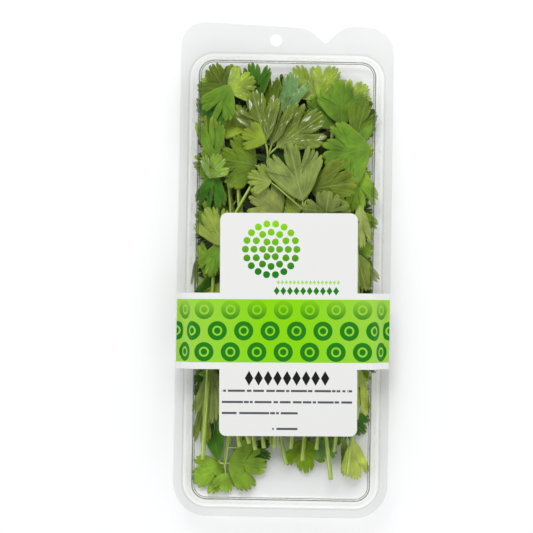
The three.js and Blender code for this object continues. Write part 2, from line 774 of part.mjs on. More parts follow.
// Lays a sprig on the pile and marks it there. Its leaflets lie on one another too, but its
// stalks run into what they join.
function laySprig(sprig, pile) {
  const route = smoothRoute(sprig.stem, stemStep);
  const stem = layStalk(route, route.map(() => 0), [stemRadius.foot, stemRadius.tip], pile);
  const own = pile.slice();
  stampStalk([...stem.slice(0, -1), stemPoint(stem, bareTip)], own);
  for (const leaf of sprig.leaflets) {
    layLeaflet(leaf, own);
    stampLeaflet(leaf, own, 4);
  }
  const stalks = sprig.leaflets.map((leaf) => {
    const [inner, base] = leaf.points;
    const root = stemPoint(stem, leaf.at);
    const inside = [0, 1, 2].map((k) => base[k] + (inner[k] - base[k]) * 0.4);
    const steps = Math.max(1, Math.round(Math.hypot(base[0] - root[0], base[1] - root[1]) / 5));
    const line = Array.from({ length: steps + 1 }, (_, i) => {
      return [0, 1, 2].map((k) => root[k] + ((base[k] - root[k]) * i) / steps);
    });
    const laid = layStalk(line, line.map(([, , z]) => z), [stemRadius.stalk, stemRadius.stalk], pile);
    laid[0][2] = root[2];
    laid[steps][2] = base[2];
    return [...laid, [...inside, stemRadius.stalk]];
  });
  for (const path of [stem, ...stalks]) stampStalk(path, pile);
  for (const leaf of sprig.leaflets) stampLeaflet(leaf, pile, 0);
  return { stem, stalks };
}

function sprigMesh(name, sprig, pile) {
  const { stem, stalks } = laySprig(sprig, pile);
  const pieces = [...stalks.map((path) => stalkSolid(path, 4)), ...sprig.leaflets.map(bladeSolid)];
  const joined = pieces.reduce((all, piece) => all.add(piece), stalkSolid(stem, 5));
  // The outer skin alone, so that blades pressed together enclose no hollow.
  const [skin] = joined.simplify(0.03).decompose().sort((a, b) => b.volume() - a.volume());
  return meshOf(name, skin, leafFinish(sprig.tone));
}

// ---- The pack ----
const bunch = new THREE.Group();
const pile = emptyPile();
[...drawnSprigs(), ...placedSprigs].forEach((sprig, i) => {
  bunch.add(sprigMesh("sprig_" + String(i + 1).padStart(2, "0"), sprig, pile));
});

const cover = new THREE.Group();
cover.add(lid(), label());

const pack = new THREE.Group();
pack.add(tray(), bunch, cover);

export default pack;
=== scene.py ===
import math

import bpy
import numpy as np
from mathutils import Matrix, Vector


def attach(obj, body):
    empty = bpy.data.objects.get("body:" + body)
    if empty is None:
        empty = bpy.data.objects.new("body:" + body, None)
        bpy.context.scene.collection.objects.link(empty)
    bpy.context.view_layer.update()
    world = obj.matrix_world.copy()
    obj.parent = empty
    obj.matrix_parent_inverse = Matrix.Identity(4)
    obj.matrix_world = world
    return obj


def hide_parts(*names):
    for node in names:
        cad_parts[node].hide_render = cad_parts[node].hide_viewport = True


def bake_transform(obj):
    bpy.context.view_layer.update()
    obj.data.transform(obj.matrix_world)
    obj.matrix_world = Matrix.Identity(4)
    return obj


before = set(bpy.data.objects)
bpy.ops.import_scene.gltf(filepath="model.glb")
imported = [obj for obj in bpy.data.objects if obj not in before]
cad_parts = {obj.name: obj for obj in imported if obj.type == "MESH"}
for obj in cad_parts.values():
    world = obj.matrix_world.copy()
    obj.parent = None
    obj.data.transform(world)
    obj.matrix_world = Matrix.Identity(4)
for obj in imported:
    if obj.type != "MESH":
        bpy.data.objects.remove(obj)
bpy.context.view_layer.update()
bpy.ops.object.select_all(action="DESELECT")
scene = bpy.context.scene
mm = 0.001


def linear(hexColour):
    channels = [int(hexColour[i : i + 2], 16) / 255 for i in (1, 3, 5)]
    return [*(c / 12.92 if c <= 0.04045 else ((c + 0.055) / 1.055) ** 2.4 for c in channels), 1]


# Adds a shader node with its own settings. Each of its inputs gets a value, or the socket or
# node that feeds it.
def addNode(tree, kind, inputs=None, **settings):
    node = tree.nodes.new("ShaderNode" + kind)
    for name, value in settings.items():
        setattr(node, name, value)
    for name, value in (inputs or {}).items():
        if isinstance(value, bpy.types.Node):
            value = value.outputs[0]
        if isinstance(value, bpy.types.NodeSocket):
            tree.links.new(value, node.inputs[name])
        else:
            node.inputs[name].default_value = value
    return node


def newMaterial(name):
    material = bpy.data.materials.new(name)
    material.use_nodes = True
    material.node_tree.nodes.clear()
    return material, material.node_tree


# The camera looks straight down on the pack, a little from its lower end.
view = {
    "target": (-8.9, 1.3, 12.8),
    "distance": 750,
    "pitch": 1.5,
    "side": -0.13,
    "roll": 1.0,
    "lens": 100.0,
}
cameraData = bpy.data.cameras.new("camera")
cameraData.lens = view["lens"]
cameraData.sensor_width = 36
cameraData.clip_end = 20
camera = bpy.data.objects.new("camera", cameraData)
scene.collection.objects.link(camera)
turn = (
    Matrix.Rotation(math.radians(view["side"]), 4, "Y")
    @ Matrix.Rotation(math.radians(view["pitch"]), 4, "X")
    @ Matrix.Rotation(math.radians(view["roll"]), 4, "Z")
)
place = (Vector(view["target"]) + turn.to_3x3() @ Vector((0, 0, view["distance"]))) * mm
camera.matrix_world = Matrix.Translation(place) @ turn
scene.camera = camera

# Light: two softboxes beside the pack, and a studio that is dark above it, so that the flat
# clear walls don't mirror white.
lamps = {
    "key": {"at": (-0.25, 1.0, 1.15), "size": 0.8, "watts": 12},
    "fill": {"at": (0.95, -0.75, 0.9), "size": 0.9, "watts": 3},
}
for name, lamp in lamps.items():
    bpy.ops.object.light_add(type="AREA", location=lamp["at"])
    light = bpy.context.object
    light.name = name
    light.data.shape = "SQUARE"
    light.data.size = lamp["size"]
    light.data.energy = lamp["watts"]
    light.rotation_euler = (-Vector(lamp["at"])).to_track_quat("-Z", "Y").to_euler()
studio = {"colour": "#f6f7f8", "strength": 1.0, "above": 0.12, "from": 0.72, "to": 0.93}
world = bpy.data.worlds.new("studio")
world.use_nodes = True
tree = world.node_tree
direction = addNode(tree, "TexCoord")
height = addNode(tree, "SeparateXYZ", {0: direction.outputs["Generated"]})
dimmed = addNode(
    tree,
    "MapRange",
    {
        "Value": height.outputs["Z"],
        "From Min": studio["from"],
        "From Max": studio["to"],
        "To Min": studio["strength"],
        "To Max": studio["above"],
    },
    interpolation_type="SMOOTHSTEP",
)
tree.links.new(dimmed.outputs[0], tree.nodes["Background"].inputs["Strength"])
tree.nodes["Background"].inputs["Color"].default_value = linear(studio["colour"])
scene.world = world
scene.view_settings.view_transform = "Standard"
scene.cycles.transparent_max_bounces = 32
print("camera and light ready")

# Matt paint: an even, almost white ground, a little below the pack.
sweep = {
    "size": 6,
    "z": -0.0003,
    "light": "#fdfdfd",
    "dark": "#fbfbfc",
    "roughness": 0.9,
    "grain": 3.0,  # patches 2 m wide
}
bpy.ops.mesh.primitive_plane_add(size=sweep["size"], location=(0, 0, sweep["z"]))
floor = bpy.context.object
floor.name = "floor"
floorPaint, tree = newMaterial("white studio sweep, matt paint")
grain = addNode(tree, "TexNoise", {"Scale": sweep["grain"], "Detail": 2.0})
shade = addNode(
    tree,
    "Mix",
    {"Factor": grain, 6: linear(sweep["light"]), 7: linear(sweep["dark"])},
    data_type="RGBA",
)
paint = addNode(
    tree, "BsdfPrincipled", {"Base Color": shade.outputs[2], "Roughness": sweep["roughness"]}
)
addNode(tree, "OutputMaterial", {"Surface": paint})
floor.data.materials.append(floorPaint)

# Thermoformed PET: clear and a little wavy, with painted shade where the sheet turns away from the eye,
# standing in for the dark lines its bends show, and with sharp reflections that gather in its folds.
petSheet = {
    "well": "#ffffff",
    # The flange, bead and bend tones are painted shade: the clear sheet made greyer or darker there.
    "flange": "#fcfcfc",
    "bead": "#acb0a4",
    "bend": "#f8f8f7",
    # The edge tone is painted shade, mixed into the light that passes where the sheet is seen edge on.
    "edge": "#d2d4cd",  # where the sheet is seen edge on
    "steepness": 9.0,
    "ior": 1.38,  # below PET's 1.57, so that the walls mirror less of the studio
    "roughness": 0.05,
    "waves": 70.0,  # 14 mm apart
    "waveDepth": 0.0012,
    "waviness": 0.25,
}
clearPet, tree = newMaterial("clear PET, thermoformed")
place = addNode(tree, "TexCoord")
waves = addNode(
    tree, "TexNoise", {"Vector": place.outputs["Object"], "Scale": petSheet["waves"], "Detail": 1.0}
)
wavy = addNode(
    tree, "Bump", {"Strength": petSheet["waviness"], "Distance": petSheet["waveDepth"], "Height": waves}
)
facing = addNode(tree, "NewGeometry")
gloss = addNode(tree, "Fresnel", {"IOR": petSheet["ior"], "Normal": wavy})
front = addNode(tree, "Math", {0: 1.0, 1: facing.outputs["Backfacing"]}, operation="SUBTRACT")
share = addNode(tree, "Math", {0: gloss, 1: front}, operation="MULTIPLY")
turned = addNode(tree, "LayerWeight", {"Blend": 0.5})
# Painted shade: the light that passes is darkened where the sheet turns edge on to the eye.
steepShade = addNode(tree, "Math", {0: turned.outputs["Facing"], 1: petSheet["steepness"]}, operation="POWER")
through = addNode(
    tree,
    "Mix",
    {"Factor": steepShade, 6: linear(petSheet["well"]), 7: linear(petSheet["edge"])},
    data_type="RGBA",
)
clear = addNode(tree, "BsdfTransparent", {"Color": through.outputs[2]})
mirror = addNode(
    tree, "BsdfGlossy", {"Color": (1, 1, 1, 1), "Roughness": petSheet["roughness"], "Normal": wavy}
)
wall = addNode(tree, "MixShader", {0: share, 1: clear, 2: mirror})
addNode(tree, "OutputMaterial", {"Surface": wall})

# Copies of the same sheet with painted shade: a little greyer where it lies flat in the flanges, and
# darker where it folds, in the lid's thin bead (a painted dark line) and at the foot of the walls (a
# painted shade line), for the light that the folds bend away.
petShadeTones = {"well": clearPet}
for tone, part in (("flange", "flat flange, painted grey"), ("bead", "folded bead, painted dark line"), ("bend", "foot of a wall, painted shade line")):
    shadedPet = clearPet.copy()
    shadedPet.name = "clear PET, " + part
    for node in shadedPet.node_tree.nodes:
        if node.bl_idname == "ShaderNodeMix":
            node.inputs[6].default_value = linear(petSheet[tone])
    petShadeTones[tone] = shadedPet

# The pack's own measures, in millimetres. Its well is a rounded rectangle at every height, and
# a profile lists half widths and heights of the outside.
pack = {
    "halfWidth": 54,
    "halfLength": 125,
    "wellCentreY": -5.5,
    "wellLonger": 65.5,  # the well's half length is its half width and this
    "cornerInset": 37,  # its corners' radius is its half width less this
    "sheet": 0.5,
}
# The tray's profile in the solids, on which the sprigs are laid.
trayProfile = [(50, 12.5), (49.6, 10.6), (48.4, 10.1), (46.3, 1.2), (45.4, 0), (41.4, 0), (40.5, 0.9)]
flanges = {"tray": 12.0, "lid": 13.3}
flangeCorners = {"low": 17, "hangTab": 12, "fingerTab": 14, "fingerInset": 15.2}
clearHalves = {
    "sheet": 0.35,
    "corner": 14,  # segments in each corner of the well
    "softness": 0.7,  # how far from its corner a bend of the profile starts
    "mostRounded": 0.45,  # and no further than this share of the way to the next
    "roundSteps": 3,
    "smoothTo": 35,  # degrees
    "beadFrom": 21.1,
    "beadSlope": 0.7,
    "flatSlope": 0.98,
    "flangeNear": 0.5,
    "bendNear": 1.1,
}
# The hole's arc stops short of a full turn, because its outline closes itself.
hangHole = {"x": -6, "y": 116.4, "radius": 3.2, "turn": 345}
lugs = {
    "radius": 2.6,
    "inset": 45.5,
    "bottom": 14.2,
    "top": 18,
    "along": (-80, -65, 27, 65, 80),
    "sides": 24,
    "rounding": 1.1,
    "roundSteps": 4,
}
# Both halves' profiles here, with finer steps.
trayOutside = [
    (50.2, flanges["tray"]),
    (49.7, 10.7),
    (48.5, 10.1),
    (46.3, 1.2),
    (45.2, 0),
    (41.4, 0),
    (40.4, 0.9),
]
lidOutside = [
    (50.2, flanges["lid"]),
    (49.3, 14.6),
    (48.3, 15.1),
    (47.5, 15.8),
    (45.4, 20.9),
    (44.5, 21.2),
    (44.2, 22.5),
    (43.3, 22.5),
    (43.05, 21.9),
    (42.4, 22),
]


def arc(x, y, radius, start, end):
    angles = np.radians(np.linspace(start, end, 4 + int(abs(end - start) / 8)))
    return [(x + radius * math.cos(angle), y + radius * math.sin(angle)) for angle in angles]


def bend(start, middle, end, steps=6):
    shares = np.linspace(0, 1, steps + 1)[:, None]
    start, middle, end = (np.array(point, float) for point in (start, middle, end))
    return [*((1 - shares) ** 2 * start + 2 * shares * (1 - shares) * middle + shares**2 * end)]


# The edge of both flanges: a wide tab with the hanging hole, a V-shaped notch, a finger tab.
def flangeEdge():
    w, h = pack["halfWidth"], pack["halfLength"]
    low, hangTab, fingerTab = (flangeCorners[corner] for corner in ("low", "hangTab", "fingerTab"))
    return [
        *arc(w - low, low - h, low, -90, 0),
        *arc(w - fingerTab, h - flangeCorners["fingerInset"], fingerTab, 0, 90),
        *bend((34, h - 1.2), (29, h - 1.2), (26, h - 4)),
        (19.6, h - 9.7),
        (19.1, h - 10),
        (18.6, h - 9.7),
        *bend((15.4, h - 7), (11, h - 2.7), (6, h - 2.1)),
        *arc(hangTab - w, h - hangTab, hangTab, 90, 180),
        *arc(low - w, low - h, low, 180, 270),
    ]


# A profile with its corners rounded.
def softened(profile):
    softness, most = clearHalves["softness"], clearHalves["mostRounded"]
    points = [np.array(point, float) for point in profile]
    soft = [points[0]]
    for before, corner, after in zip(points, points[1:], points[2:]):
        back, on = before - corner, after - corner
        start = corner + back * min(most, softness / np.linalg.norm(back))
        end = corner + on * min(most, softness / np.linalg.norm(on))
        soft += bend(start, corner, end, clearHalves["roundSteps"])
    return [*soft, points[-1]]


def editAll():
    bpy.ops.object.mode_set(mode="EDIT")
    bpy.ops.mesh.select_all(action="SELECT")


# The well of a half: a rounded plate inset again and again, each time to its next height.
def well(profile):
    (d, z), *rest = profile
    bpy.ops.mesh.primitive_plane_add(size=2, location=(0, pack["wellCentreY"] * mm, z * mm))
    editAll()
    bpy.ops.transform.resize(value=(d * mm, (d + pack["wellLonger"]) * mm, 1))
    radius = (d - pack["cornerInset"]) * mm
    bpy.ops.mesh.bevel(affect="VERTICES", offset=radius, segments=clearHalves["corner"])
    bpy.ops.mesh.select_all(action="SELECT")
    bpy.ops.object.mode_set(mode="OBJECT")
    bpy.ops.object.transform_apply(location=True)
    half = bpy.context.object
    rim = [half.data.vertices[i].co.xy / mm for i in half.data.polygons[0].vertices]
    editAll()
    for nextD, nextZ in rest:
        bpy.ops.mesh.inset(thickness=(d - nextD) * mm, depth=(nextZ - z) * mm)
        d, z = nextD, nextZ
    bpy.ops.object.mode_set(mode="OBJECT")
    return half, rim


# The flat flange round a well's rim, with its hole.
def flange(rim, z):
    curve = bpy.data.curves.new("flange", "CURVE")
    curve.dimensions = "2D"
    curve.fill_mode = "BOTH"
    hole = arc(hangHole["x"], hangHole["y"], hangHole["radius"], 0, hangHole["turn"])
    for outline in (flangeEdge(), hole, rim):
        spline = curve.splines.new("POLY")
        spline.points.add(len(outline) - 1)
        spline.use_cyclic_u = True
        for point, (x, y) in zip(spline.points, outline):
            point.co = (x * mm, y * mm, 0, 1)
    flat = bpy.data.objects.new("flange", curve)
    scene.collection.objects.link(flat)
    flat.location.z = z * mm
    bpy.ops.object.select_all(action="DESELECT")
    flat.select_set(True)
    bpy.context.view_layer.objects.active = flat
    bpy.ops.object.convert(target="MESH")
    bpy.ops.object.transform_apply(location=True)
    return flat


# One lug: a short post with a round top, kept only outside the lid's wall.
def lug(side, along):
    height = lugs["top"] - lugs["bottom"]
    x, y = side * lugs["inset"] * mm, (along + pack["wellCentreY"]) * mm
    z = (lugs["top"] + lugs["bottom"]) / 2 * mm
    radius = lugs["radius"] * mm
    bpy.ops.mesh.primitive_cylinder_add(
        vertices=lugs["sides"], radius=radius, depth=height * mm, location=(x, y, z)
    )
    post = bpy.context.object
    bpy.ops.object.mode_set(mode="EDIT")
    bpy.ops.mesh.select_mode(type="FACE")
    bpy.ops.mesh.select_all(action="DESELECT")
    bpy.ops.object.mode_set(mode="OBJECT")
    for face in post.data.polygons:
        face.select = face.normal.z > clearHalves["flatSlope"]
    bpy.ops.object.mode_set(mode="EDIT")
    bpy.ops.mesh.bevel(offset=lugs["rounding"] * mm, segments=lugs["roundSteps"])
    bpy.ops.mesh.select_all(action="SELECT")
    (d1, z1), (d2, z2) = lidOutside[3:5]
    slope = (side * (z2 - z1), 0, d1 - d2)
    bpy.ops.mesh.bisect(plane_co=(side * d1 * mm, y, z1 * mm), plane_no=slope, clear_inner=True)
    bpy.ops.object.mode_set(mode="OBJECT")
    bpy.ops.object.transform_apply(location=True)
    return post


# One clear half: its well, flange and posts joined in one sheet.
def clearHalf(name, profile, outsideUp, posts):
    half, rim = well(softened(profile))
    parts = [half, flange(rim, profile[0][1]), *posts]
    bpy.ops.object.select_all(action="DESELECT")
    for part in parts:
        part.select_set(True)
    bpy.context.view_layer.objects.active = half
    bpy.ops.object.join()
    editAll()
    bpy.ops.mesh.remove_doubles(threshold=0.00001)
    bpy.ops.mesh.normals_make_consistent(inside=False)
    bpy.ops.object.mode_set(mode="OBJECT")
    largest = max(half.data.polygons, key=lambda face: face.area)
    if (largest.normal.z > 0) != outsideUp:
        editAll()
        bpy.ops.mesh.flip_normals()
        bpy.ops.object.mode_set(mode="OBJECT")
    half.name = name
    wall = half.modifiers.new("sheet", "SOLIDIFY")
    wall.thickness = clearHalves["sheet"] * mm
    wall.use_even_offset = True
    bpy.ops.object.modifier_apply(modifier=wall.name)
    bpy.ops.object.shade_smooth_by_angle(angle=math.radians(clearHalves["smoothTo"]))
    for tone in petShadeTones.values():
        half.data.materials.append(tone)
    slots = {tone: slot for slot, tone in enumerate(petShadeTones)}
    # Faces get the painted shade tones: dark at the bead, grey on the flange, shaded at the foot of a
    # wall.
    for face in half.data.polygons:
        height, slope = face.center.z / mm, abs(face.normal.z)
        offFlange = abs(height - profile[0][1])
        if height > clearHalves["beadFrom"] and slope < clearHalves["beadSlope"]:
            face.material_index = slots["bead"]
        elif offFlange < clearHalves["flangeNear"] and slope > clearHalves["flatSlope"]:
            face.material_index = slots["flange"]
        elif offFlange < clearHalves["bendNear"]:
            face.material_index = slots["bend"]
    return half


traySheet = clearHalf("tray_sheet", trayOutside, False, [])
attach(traySheet, "tray")
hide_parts("tray")
lugPosts = [lug(side, along) for side in (-1, 1) for along in lugs["along"]]
lidSheet = clearHalf("lid_sheet", lidOutside, True, lugPosts)
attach(lidSheet, "lid")
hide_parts("lid")

# The fold that joins both halves: half of a thin tube along their left edge.
fold = {
    "x": -54,
    "z": 12.65,
    "radius": 0.65,
    "from": -108,
    "to": 113,
    "sides": 24,
    "crease": 0.15,  # how far outside the flanges it is blended
}
bpy.ops.mesh.primitive_cylinder_add(
    vertices=fold["sides"],
    radius=fold["radius"] * mm,
    depth=(fold["to"] - fold["from"]) * mm,
    end_fill_type="NOTHING",
    location=(fold["x"] * mm, (fold["from"] + fold["to"]) / 2 * mm, fold["z"] * mm),
    rotation=(math.pi / 2, 0, 0),
)
foldStrip = bpy.context.object
foldStrip.name = "fold_strip"
bpy.ops.object.transform_apply(location=True, rotation=True)
editAll()
bpy.ops.mesh.bisect(plane_co=(fold["x"] * mm, 0, 0), plane_no=(-1, 0, 0), clear_inner=True)
bpy.ops.object.mode_set(mode="OBJECT")
wall = foldStrip.modifiers.new("sheet", "SOLIDIFY")
wall.thickness = clearHalves["sheet"] * mm
bpy.ops.object.modifier_apply(modifier=wall.name)
bpy.ops.object.shade_smooth()
foldStrip.data.materials.append(clearPet)
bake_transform(foldStrip)
print("clear halves made")

# The same sprigs, in the same places, as the model's sprig nodes. All in millimetres.
bladeForm = {"thickness": 0.7, "sides": 0.8, "front": 0.2, "middle": 0.42}
stemForm = {"foot": 1.15, "tip": 0.75, "stalk": 0.5, "step": 15, "stalkStep": 5}
stalkEnd = {"share": 0.3, "below": 0.35, "radius": 0.1}
pileRule = {
    "clearance": 0.25,
    "markGap": 0.7,
    "tiltLimit": 0.28,
    "tiltReach": 0.75,  # of a leaflet's size
    "passes": 10,
    "settle": 0.25,
    "ease": 0.6,
    "bareBase": 4,  # left unmarked round a leaflet's base until its whole sprig is laid
    "bareTip": 3,  # and so is the end of its stem
}


def leaflet(at, x, y, heading, size, tint, **shape):
    usual = {"teeth": 7, "spread": 60, "cuts": 0.15, "lobes": 0.34, "reach": 45}
    lie = {"bend": 0.06, "fold": 0.1, "wave": 0.05, "stiff": 0.8, "wet": 0.0}
    place = {"at": at, "x": x, "y": y, "heading": heading, "size": size, "tint": tint}
    return usual | lie | place | shape


def sprig(stem, *leaflets):
    return {"stem": stem, "leaflets": leaflets}


# Leaflets tinted dark here are painted shade, for the dark gaps they fill.
placedSprigs = [
    sprig(
        [(-29, -86), (-34, -45), (-36, -10), (-35, 17)],
        leaflet(14, -45, 5, -92, 15, "lime", spread=10, teeth=3, reach=47.5),
        leaflet(20, -39, -1, -94, 18, "deep", spread=42),
        leaflet(2, -35, 17, 200, 12.5, "dark", spread=58, teeth=5),
    ),
    sprig(
        [(30, -88), (34, -40), (36, -5), (37, 16)],
        leaflet(4, 38.5, 11, -92, 21, "dark", spread=40),
        leaflet(0, 41, 31, -66, 13, "fresh", spread=42, teeth=5, reach=47.5),
    ),
    sprig(
        [(32, -90), (37, -40), (40, -8), (41, 6)],
        leaflet(2, 38, 10, -74, 12, "deep", spread=36),
        leaflet(0, 43, 9, -76, 19, "pale", spread=34, reach=48),
    ),
    sprig(
        [(-18, -50), (-25, -76), (-28.5, -99)],
        leaflet(8, -17, -91, -28, 12.5, "deep"),
        leaflet(0, -31, -99, 103, 25, "deep", spread=22, teeth=5),
        leaflet(0, -29, -101, 205, 17, "bright", spread=56, fold=0.03),
        leaflet(0, -28, -104, -88, 10, "bright", spread=62, fold=0.03),
        leaflet(0, -27, -99, -6, 19, "bright", spread=66, fold=0.03, teeth=9),
    ),
    sprig(
        [(-30, -24), (-34, -34), (-36, -42)],
        leaflet(3, -40.5, -65, -93, 24, "olive", spread=16, teeth=5),
        leaflet(4, -38, -40, -93, 24, "deep", spread=32),
        leaflet(2, -33.5, -60, -80, 19, "deep", spread=34),
        leaflet(0, -37, -50, -91, 27, "sage", spread=28, bend=0.02),
    ),
    sprig(
        [(8, -50), (9, -66), (11, -84)],
        leaflet(0, 11.5, -86, -84, 17, "fresh", spread=58),
        leaflet(4, 20, -86, -50, 11, "blue"),
    ),
    sprig(
        [(36, -20), (40, -32), (41, -42)],
        leaflet(2, 35.5, -74, -48, 12, "deep"),
        leaflet(6, 44, -42, -74, 14, "fresh", spread=42, reach=48),
        leaflet(0, 40.5, -49, -90, 26, "palest", spread=19, teeth=5),
    ),
    sprig(
        [(26, -56), (30, -70), (34, -82)],
        leaflet(1, 31.5, -84, -82, 21, "olive", spread=11, teeth=3, fold=0.2),
        leaflet(0, 36.5, -85, -85, 21, "palest", spread=28, fold=0.12),
    ),
    sprig(
        [(5, -91), (9, -40), (10, 10), (7, 50), (2, 72)],
        leaflet(3, 15, 90, 124, 20, "lime", spread=46, wet=1),
        leaflet(3, 16.5, 87, 66, 19, "lime", spread=40, wet=1),
        leaflet(0, -0.5, 79, 82, 21, "blue", spread=36, fold=0.25, bend=0.02, wet=1),
    ),
    sprig(
        [(-8.6, -91), (-15, -40), (-20, 10), (-24, 36), (-22, 62), (-14, 80)],
        leaflet(2, -8, 83, 95, 15, "brown", spread=34, teeth=5),
        leaflet(0, -14.5, 86, 104, 19, "deep", spread=42),
        leaflet(14, -33, 66, 52, 20, "lime", spread=36),
    ),
    sprig(
        [(18, -91), (23, -40), (26, 20), (26, 50), (27, 68)],
        leaflet(1, 31, 85, 50, 14.5, "lime", spread=52, wet=1),
        leaflet(3, 24, 72, 124, 19, "mid", spread=46),
        leaflet(0, 28.4, 74, 92, 22, "mid", spread=50, fold=0.05),
    ),
    sprig(
        [(27, -92), (32, -30), (33, 30), (37, 60)],
        leaflet(4, 42, 56, -90, 25, "bright", spread=36, reach=47),
        leaflet(1, 39, 65, 76, 21, "moss", spread=30, fold=0.2, reach=46.5),
        leaflet(0, 43, 63, -165, 24, "mid", spread=62, fold=0.04, reach=46),
    ),
    sprig(
        [(-21, -90), (-27, -40), (-27, 20), (-29, 44), (-33, 70), (-31, 86)],
        leaflet(36, -42.5, 52, 146, 10, "lime", spread=52, teeth=5, reach=47.2),
        leaflet(18, -38.5, 68, 100, 24, "deep", spread=32, teeth=5, reach=46),
        leaflet(0, -32.7, 89, 122, 18, "brown", spread=60, bend=0.12),
        leaflet(1, -30, 90, 28, 14.5, "lime", spread=58, wet=1),
        leaflet(2, -29, 93, -117, 19, "mid", spread=42, teeth=5),
    ),
    sprig(
        [(-13, -92), (-22, -40), (-28, 0), (-26, 28), (-16, 43), (-13, 50)],
        leaflet(0, -14.5, 53, 172, 19.5, "moss", spread=70, fold=0.04, teeth=9),
    ),
    sprig(
        [(3, -99), (-5, -60), (-12, 10), (-9, 40), (-9, 58)],
        leaflet(0, -5.1, 62, 35, 27, "olive", spread=38, bend=0.02, wet=1),
        leaflet(0, -7.5, 63, 76, 22, "olive", spread=24, teeth=5, wet=1),
        leaflet(0, -10.5, 64, 105, 25, "olive", spread=38, wave=0.07, lobes=0.44, wet=1),
        leaflet(2, -10, 64, 158, 13, "lime", spread=46, fold=0.15),
    ),
    sprig(
        [(-39.5, -97), (-37, -40), (-35, 20), (-34, 38), (-37, 48)],
        leaflet(3, -39, 50, -97, 20, "deep", spread=34, teeth=5, reach=46),
        leaflet(1, -42, 57, 97, 20, "lime", spread=24, teeth=5, reach=46.5),
        leaflet(0, -37, 53, 96, 21, "mid", spread=28, fold=0.2, teeth=5),
        leaflet(2, -39, 46, 62, 12, "bright", wave=0.1, wet=1),
    ),
    sprig(
        [(-3.5, -91), (0, -40), (4, 0), (3, 22)],
        leaflet(0, 5.5, 27, 112, 11, "lime", wet=1),
        leaflet(0, -1.5, 28, 140, 19, "faded", spread=56),
    ),
    sprig(
        [(11, -97), (15, -40), (15, 0), (9.5, 31)],
        leaflet(0, 12, 41, 8, 23, "olive", spread=48),
        leaflet(1, -7, 44, 166, 12, "pale"),
        leaflet(0, 8.9, 34.3, 104, 29, "sage", spread=42, lobes=0.46, teeth=9, fold=0.06, bend=0.03),
    ),
    sprig(
        [(25.6, -106), (20, -60), (20, 0), (20, 16)],
        leaflet(3, 17, 14, 172, 13, "olive"),
        leaflet(0, 20, 22, 84, 17, "sage", spread=66),
    ),
    sprig(
        [(-16, -88), (-30, -40), (-31, -10), (-30, 8)],
        leaflet(3, -33.5, 13, -104, 17, "mid", spread=36),
        leaflet(0, -31, 10.5, 117, 21, "pale", spread=38, reach=45.5),
    ),
    sprig(
        [(34, -104), (37.5, -60), (37.5, -10), (36, 27)],
        leaflet(0, 39.5, 34, -87, 22, "faded", spread=22, fold=0.15),
    ),
]


# Repeatable random numbers from 0 to 1.
def randomFrom(seed):
    state = seed

    def draw():
        nonlocal state
        state = (state * 1664525 + 1013904223) % 4294967296
        return state / 4294967296

    return draw


# The sprigs underneath, in rows of three over the leafy end of the tray, their leaflets painted
# near-black with the shade tint for the shade deep in the bunch. Pairs are the lowest and highest of
# what is drawn at random, and angles are in degrees.
hiddenSprigs = {
    "count": 9,
    "seed": 20,
    "detail": 0.5,
    "pitch": 27,
    "firstRow": 24,
    "off": (-4, 4),
    "footPitch": 20,
    "footShift": (5, 7),
    "foot": (-92, -86),
    "fan": 8,
    "turn": (-10, 10),
    "tipLeaf": (18, 21),
    "sideLeaf": (15, 18),
    "aside": (60, 85),
    "stalk": (4, 6),
}
flatLeaf = {"bend": 0.02, "fold": 0.04, "wave": 0.03, "stiff": 0.6}


def drawnSprigs():
    random = randomFrom(hiddenSprigs["seed"])

    def drawn(name):
        low, high = hiddenSprigs[name]
        return low + (high - low) * random()

    sprigs = []
    for i in range(hiddenSprigs["count"]):
        column, row = i % 3 - 1, i // 3
        tipX = column * hiddenSprigs["pitch"] + drawn("off")
        tipY = hiddenSprigs["firstRow"] + row * hiddenSprigs["pitch"] + drawn("off")
        footX = column * hiddenSprigs["footPitch"] + (row - 1) * drawn("footShift")
        footY = drawn("foot")
        middle = ((tipX + footX) / 2 + drawn("off"), (tipY + footY) / 2)
        heading = 90 - column * hiddenSprigs["fan"] + drawn("turn")
        # Every leaflet here is painted shade with the near-black shade tint.
        leaflets = [leaflet(0, tipX, tipY + 2, heading, drawn("tipLeaf"), "shade", **flatLeaf)]
        for down, side in ((4, -1), (4, 1), (20, 1 - 2 * (i % 2))):
            aside = heading + side * drawn("aside")
            reach = drawn("stalk")
            x = tipX + reach * math.cos(math.radians(aside))
            y = tipY + 1 - down + reach * math.sin(math.radians(aside))
            leaflets.append(leaflet(down, x, y, aside, drawn("sideLeaf"), "shade", **flatLeaf))
        sprigs.append(sprig([(footX, footY), middle, (tipX, tipY)], *leaflets))
    return sprigs


# How far along and left of the midrib the outline's corners are: its base, then a cut and a
# tooth by turns.
def bladeOutline(leaf):
    steps = 2 * leaf["teeth"]
    lobeCut = 2 * int(leaf["teeth"] / 3 + 0.5)
    points = [(0.0, 0.0)]
    for i in range(steps + 1):
        angle = math.radians(leaf["spread"]) * (2 * i / steps - 1)
        front = bladeForm["front"] * math.cos(angle * 90 / leaf["spread"])
        reach = leaf["size"] * (bladeForm["sides"] + front)
        cut = 0 if i % 2 else leaf["lobes"] if i in (lobeCut, steps - lobeCut) else leaf["cuts"]
        points.append((reach * (1 - cut) * math.cos(angle), reach * (1 - cut) * math.sin(angle)))
    return np.array(points)


def bladeHeight(leaf, along, left):
    out = np.hypot(along, left) / leaf["size"]
    angle = np.arctan2(left, along)
    ripple = leaf["wave"] * out**2 * np.sin(4 * angle + math.radians(leaf["heading"]))
    return leaf["size"] * (leaf["bend"] * out**2 + leaf["fold"] * out * abs(np.sin(angle)) + ripple)


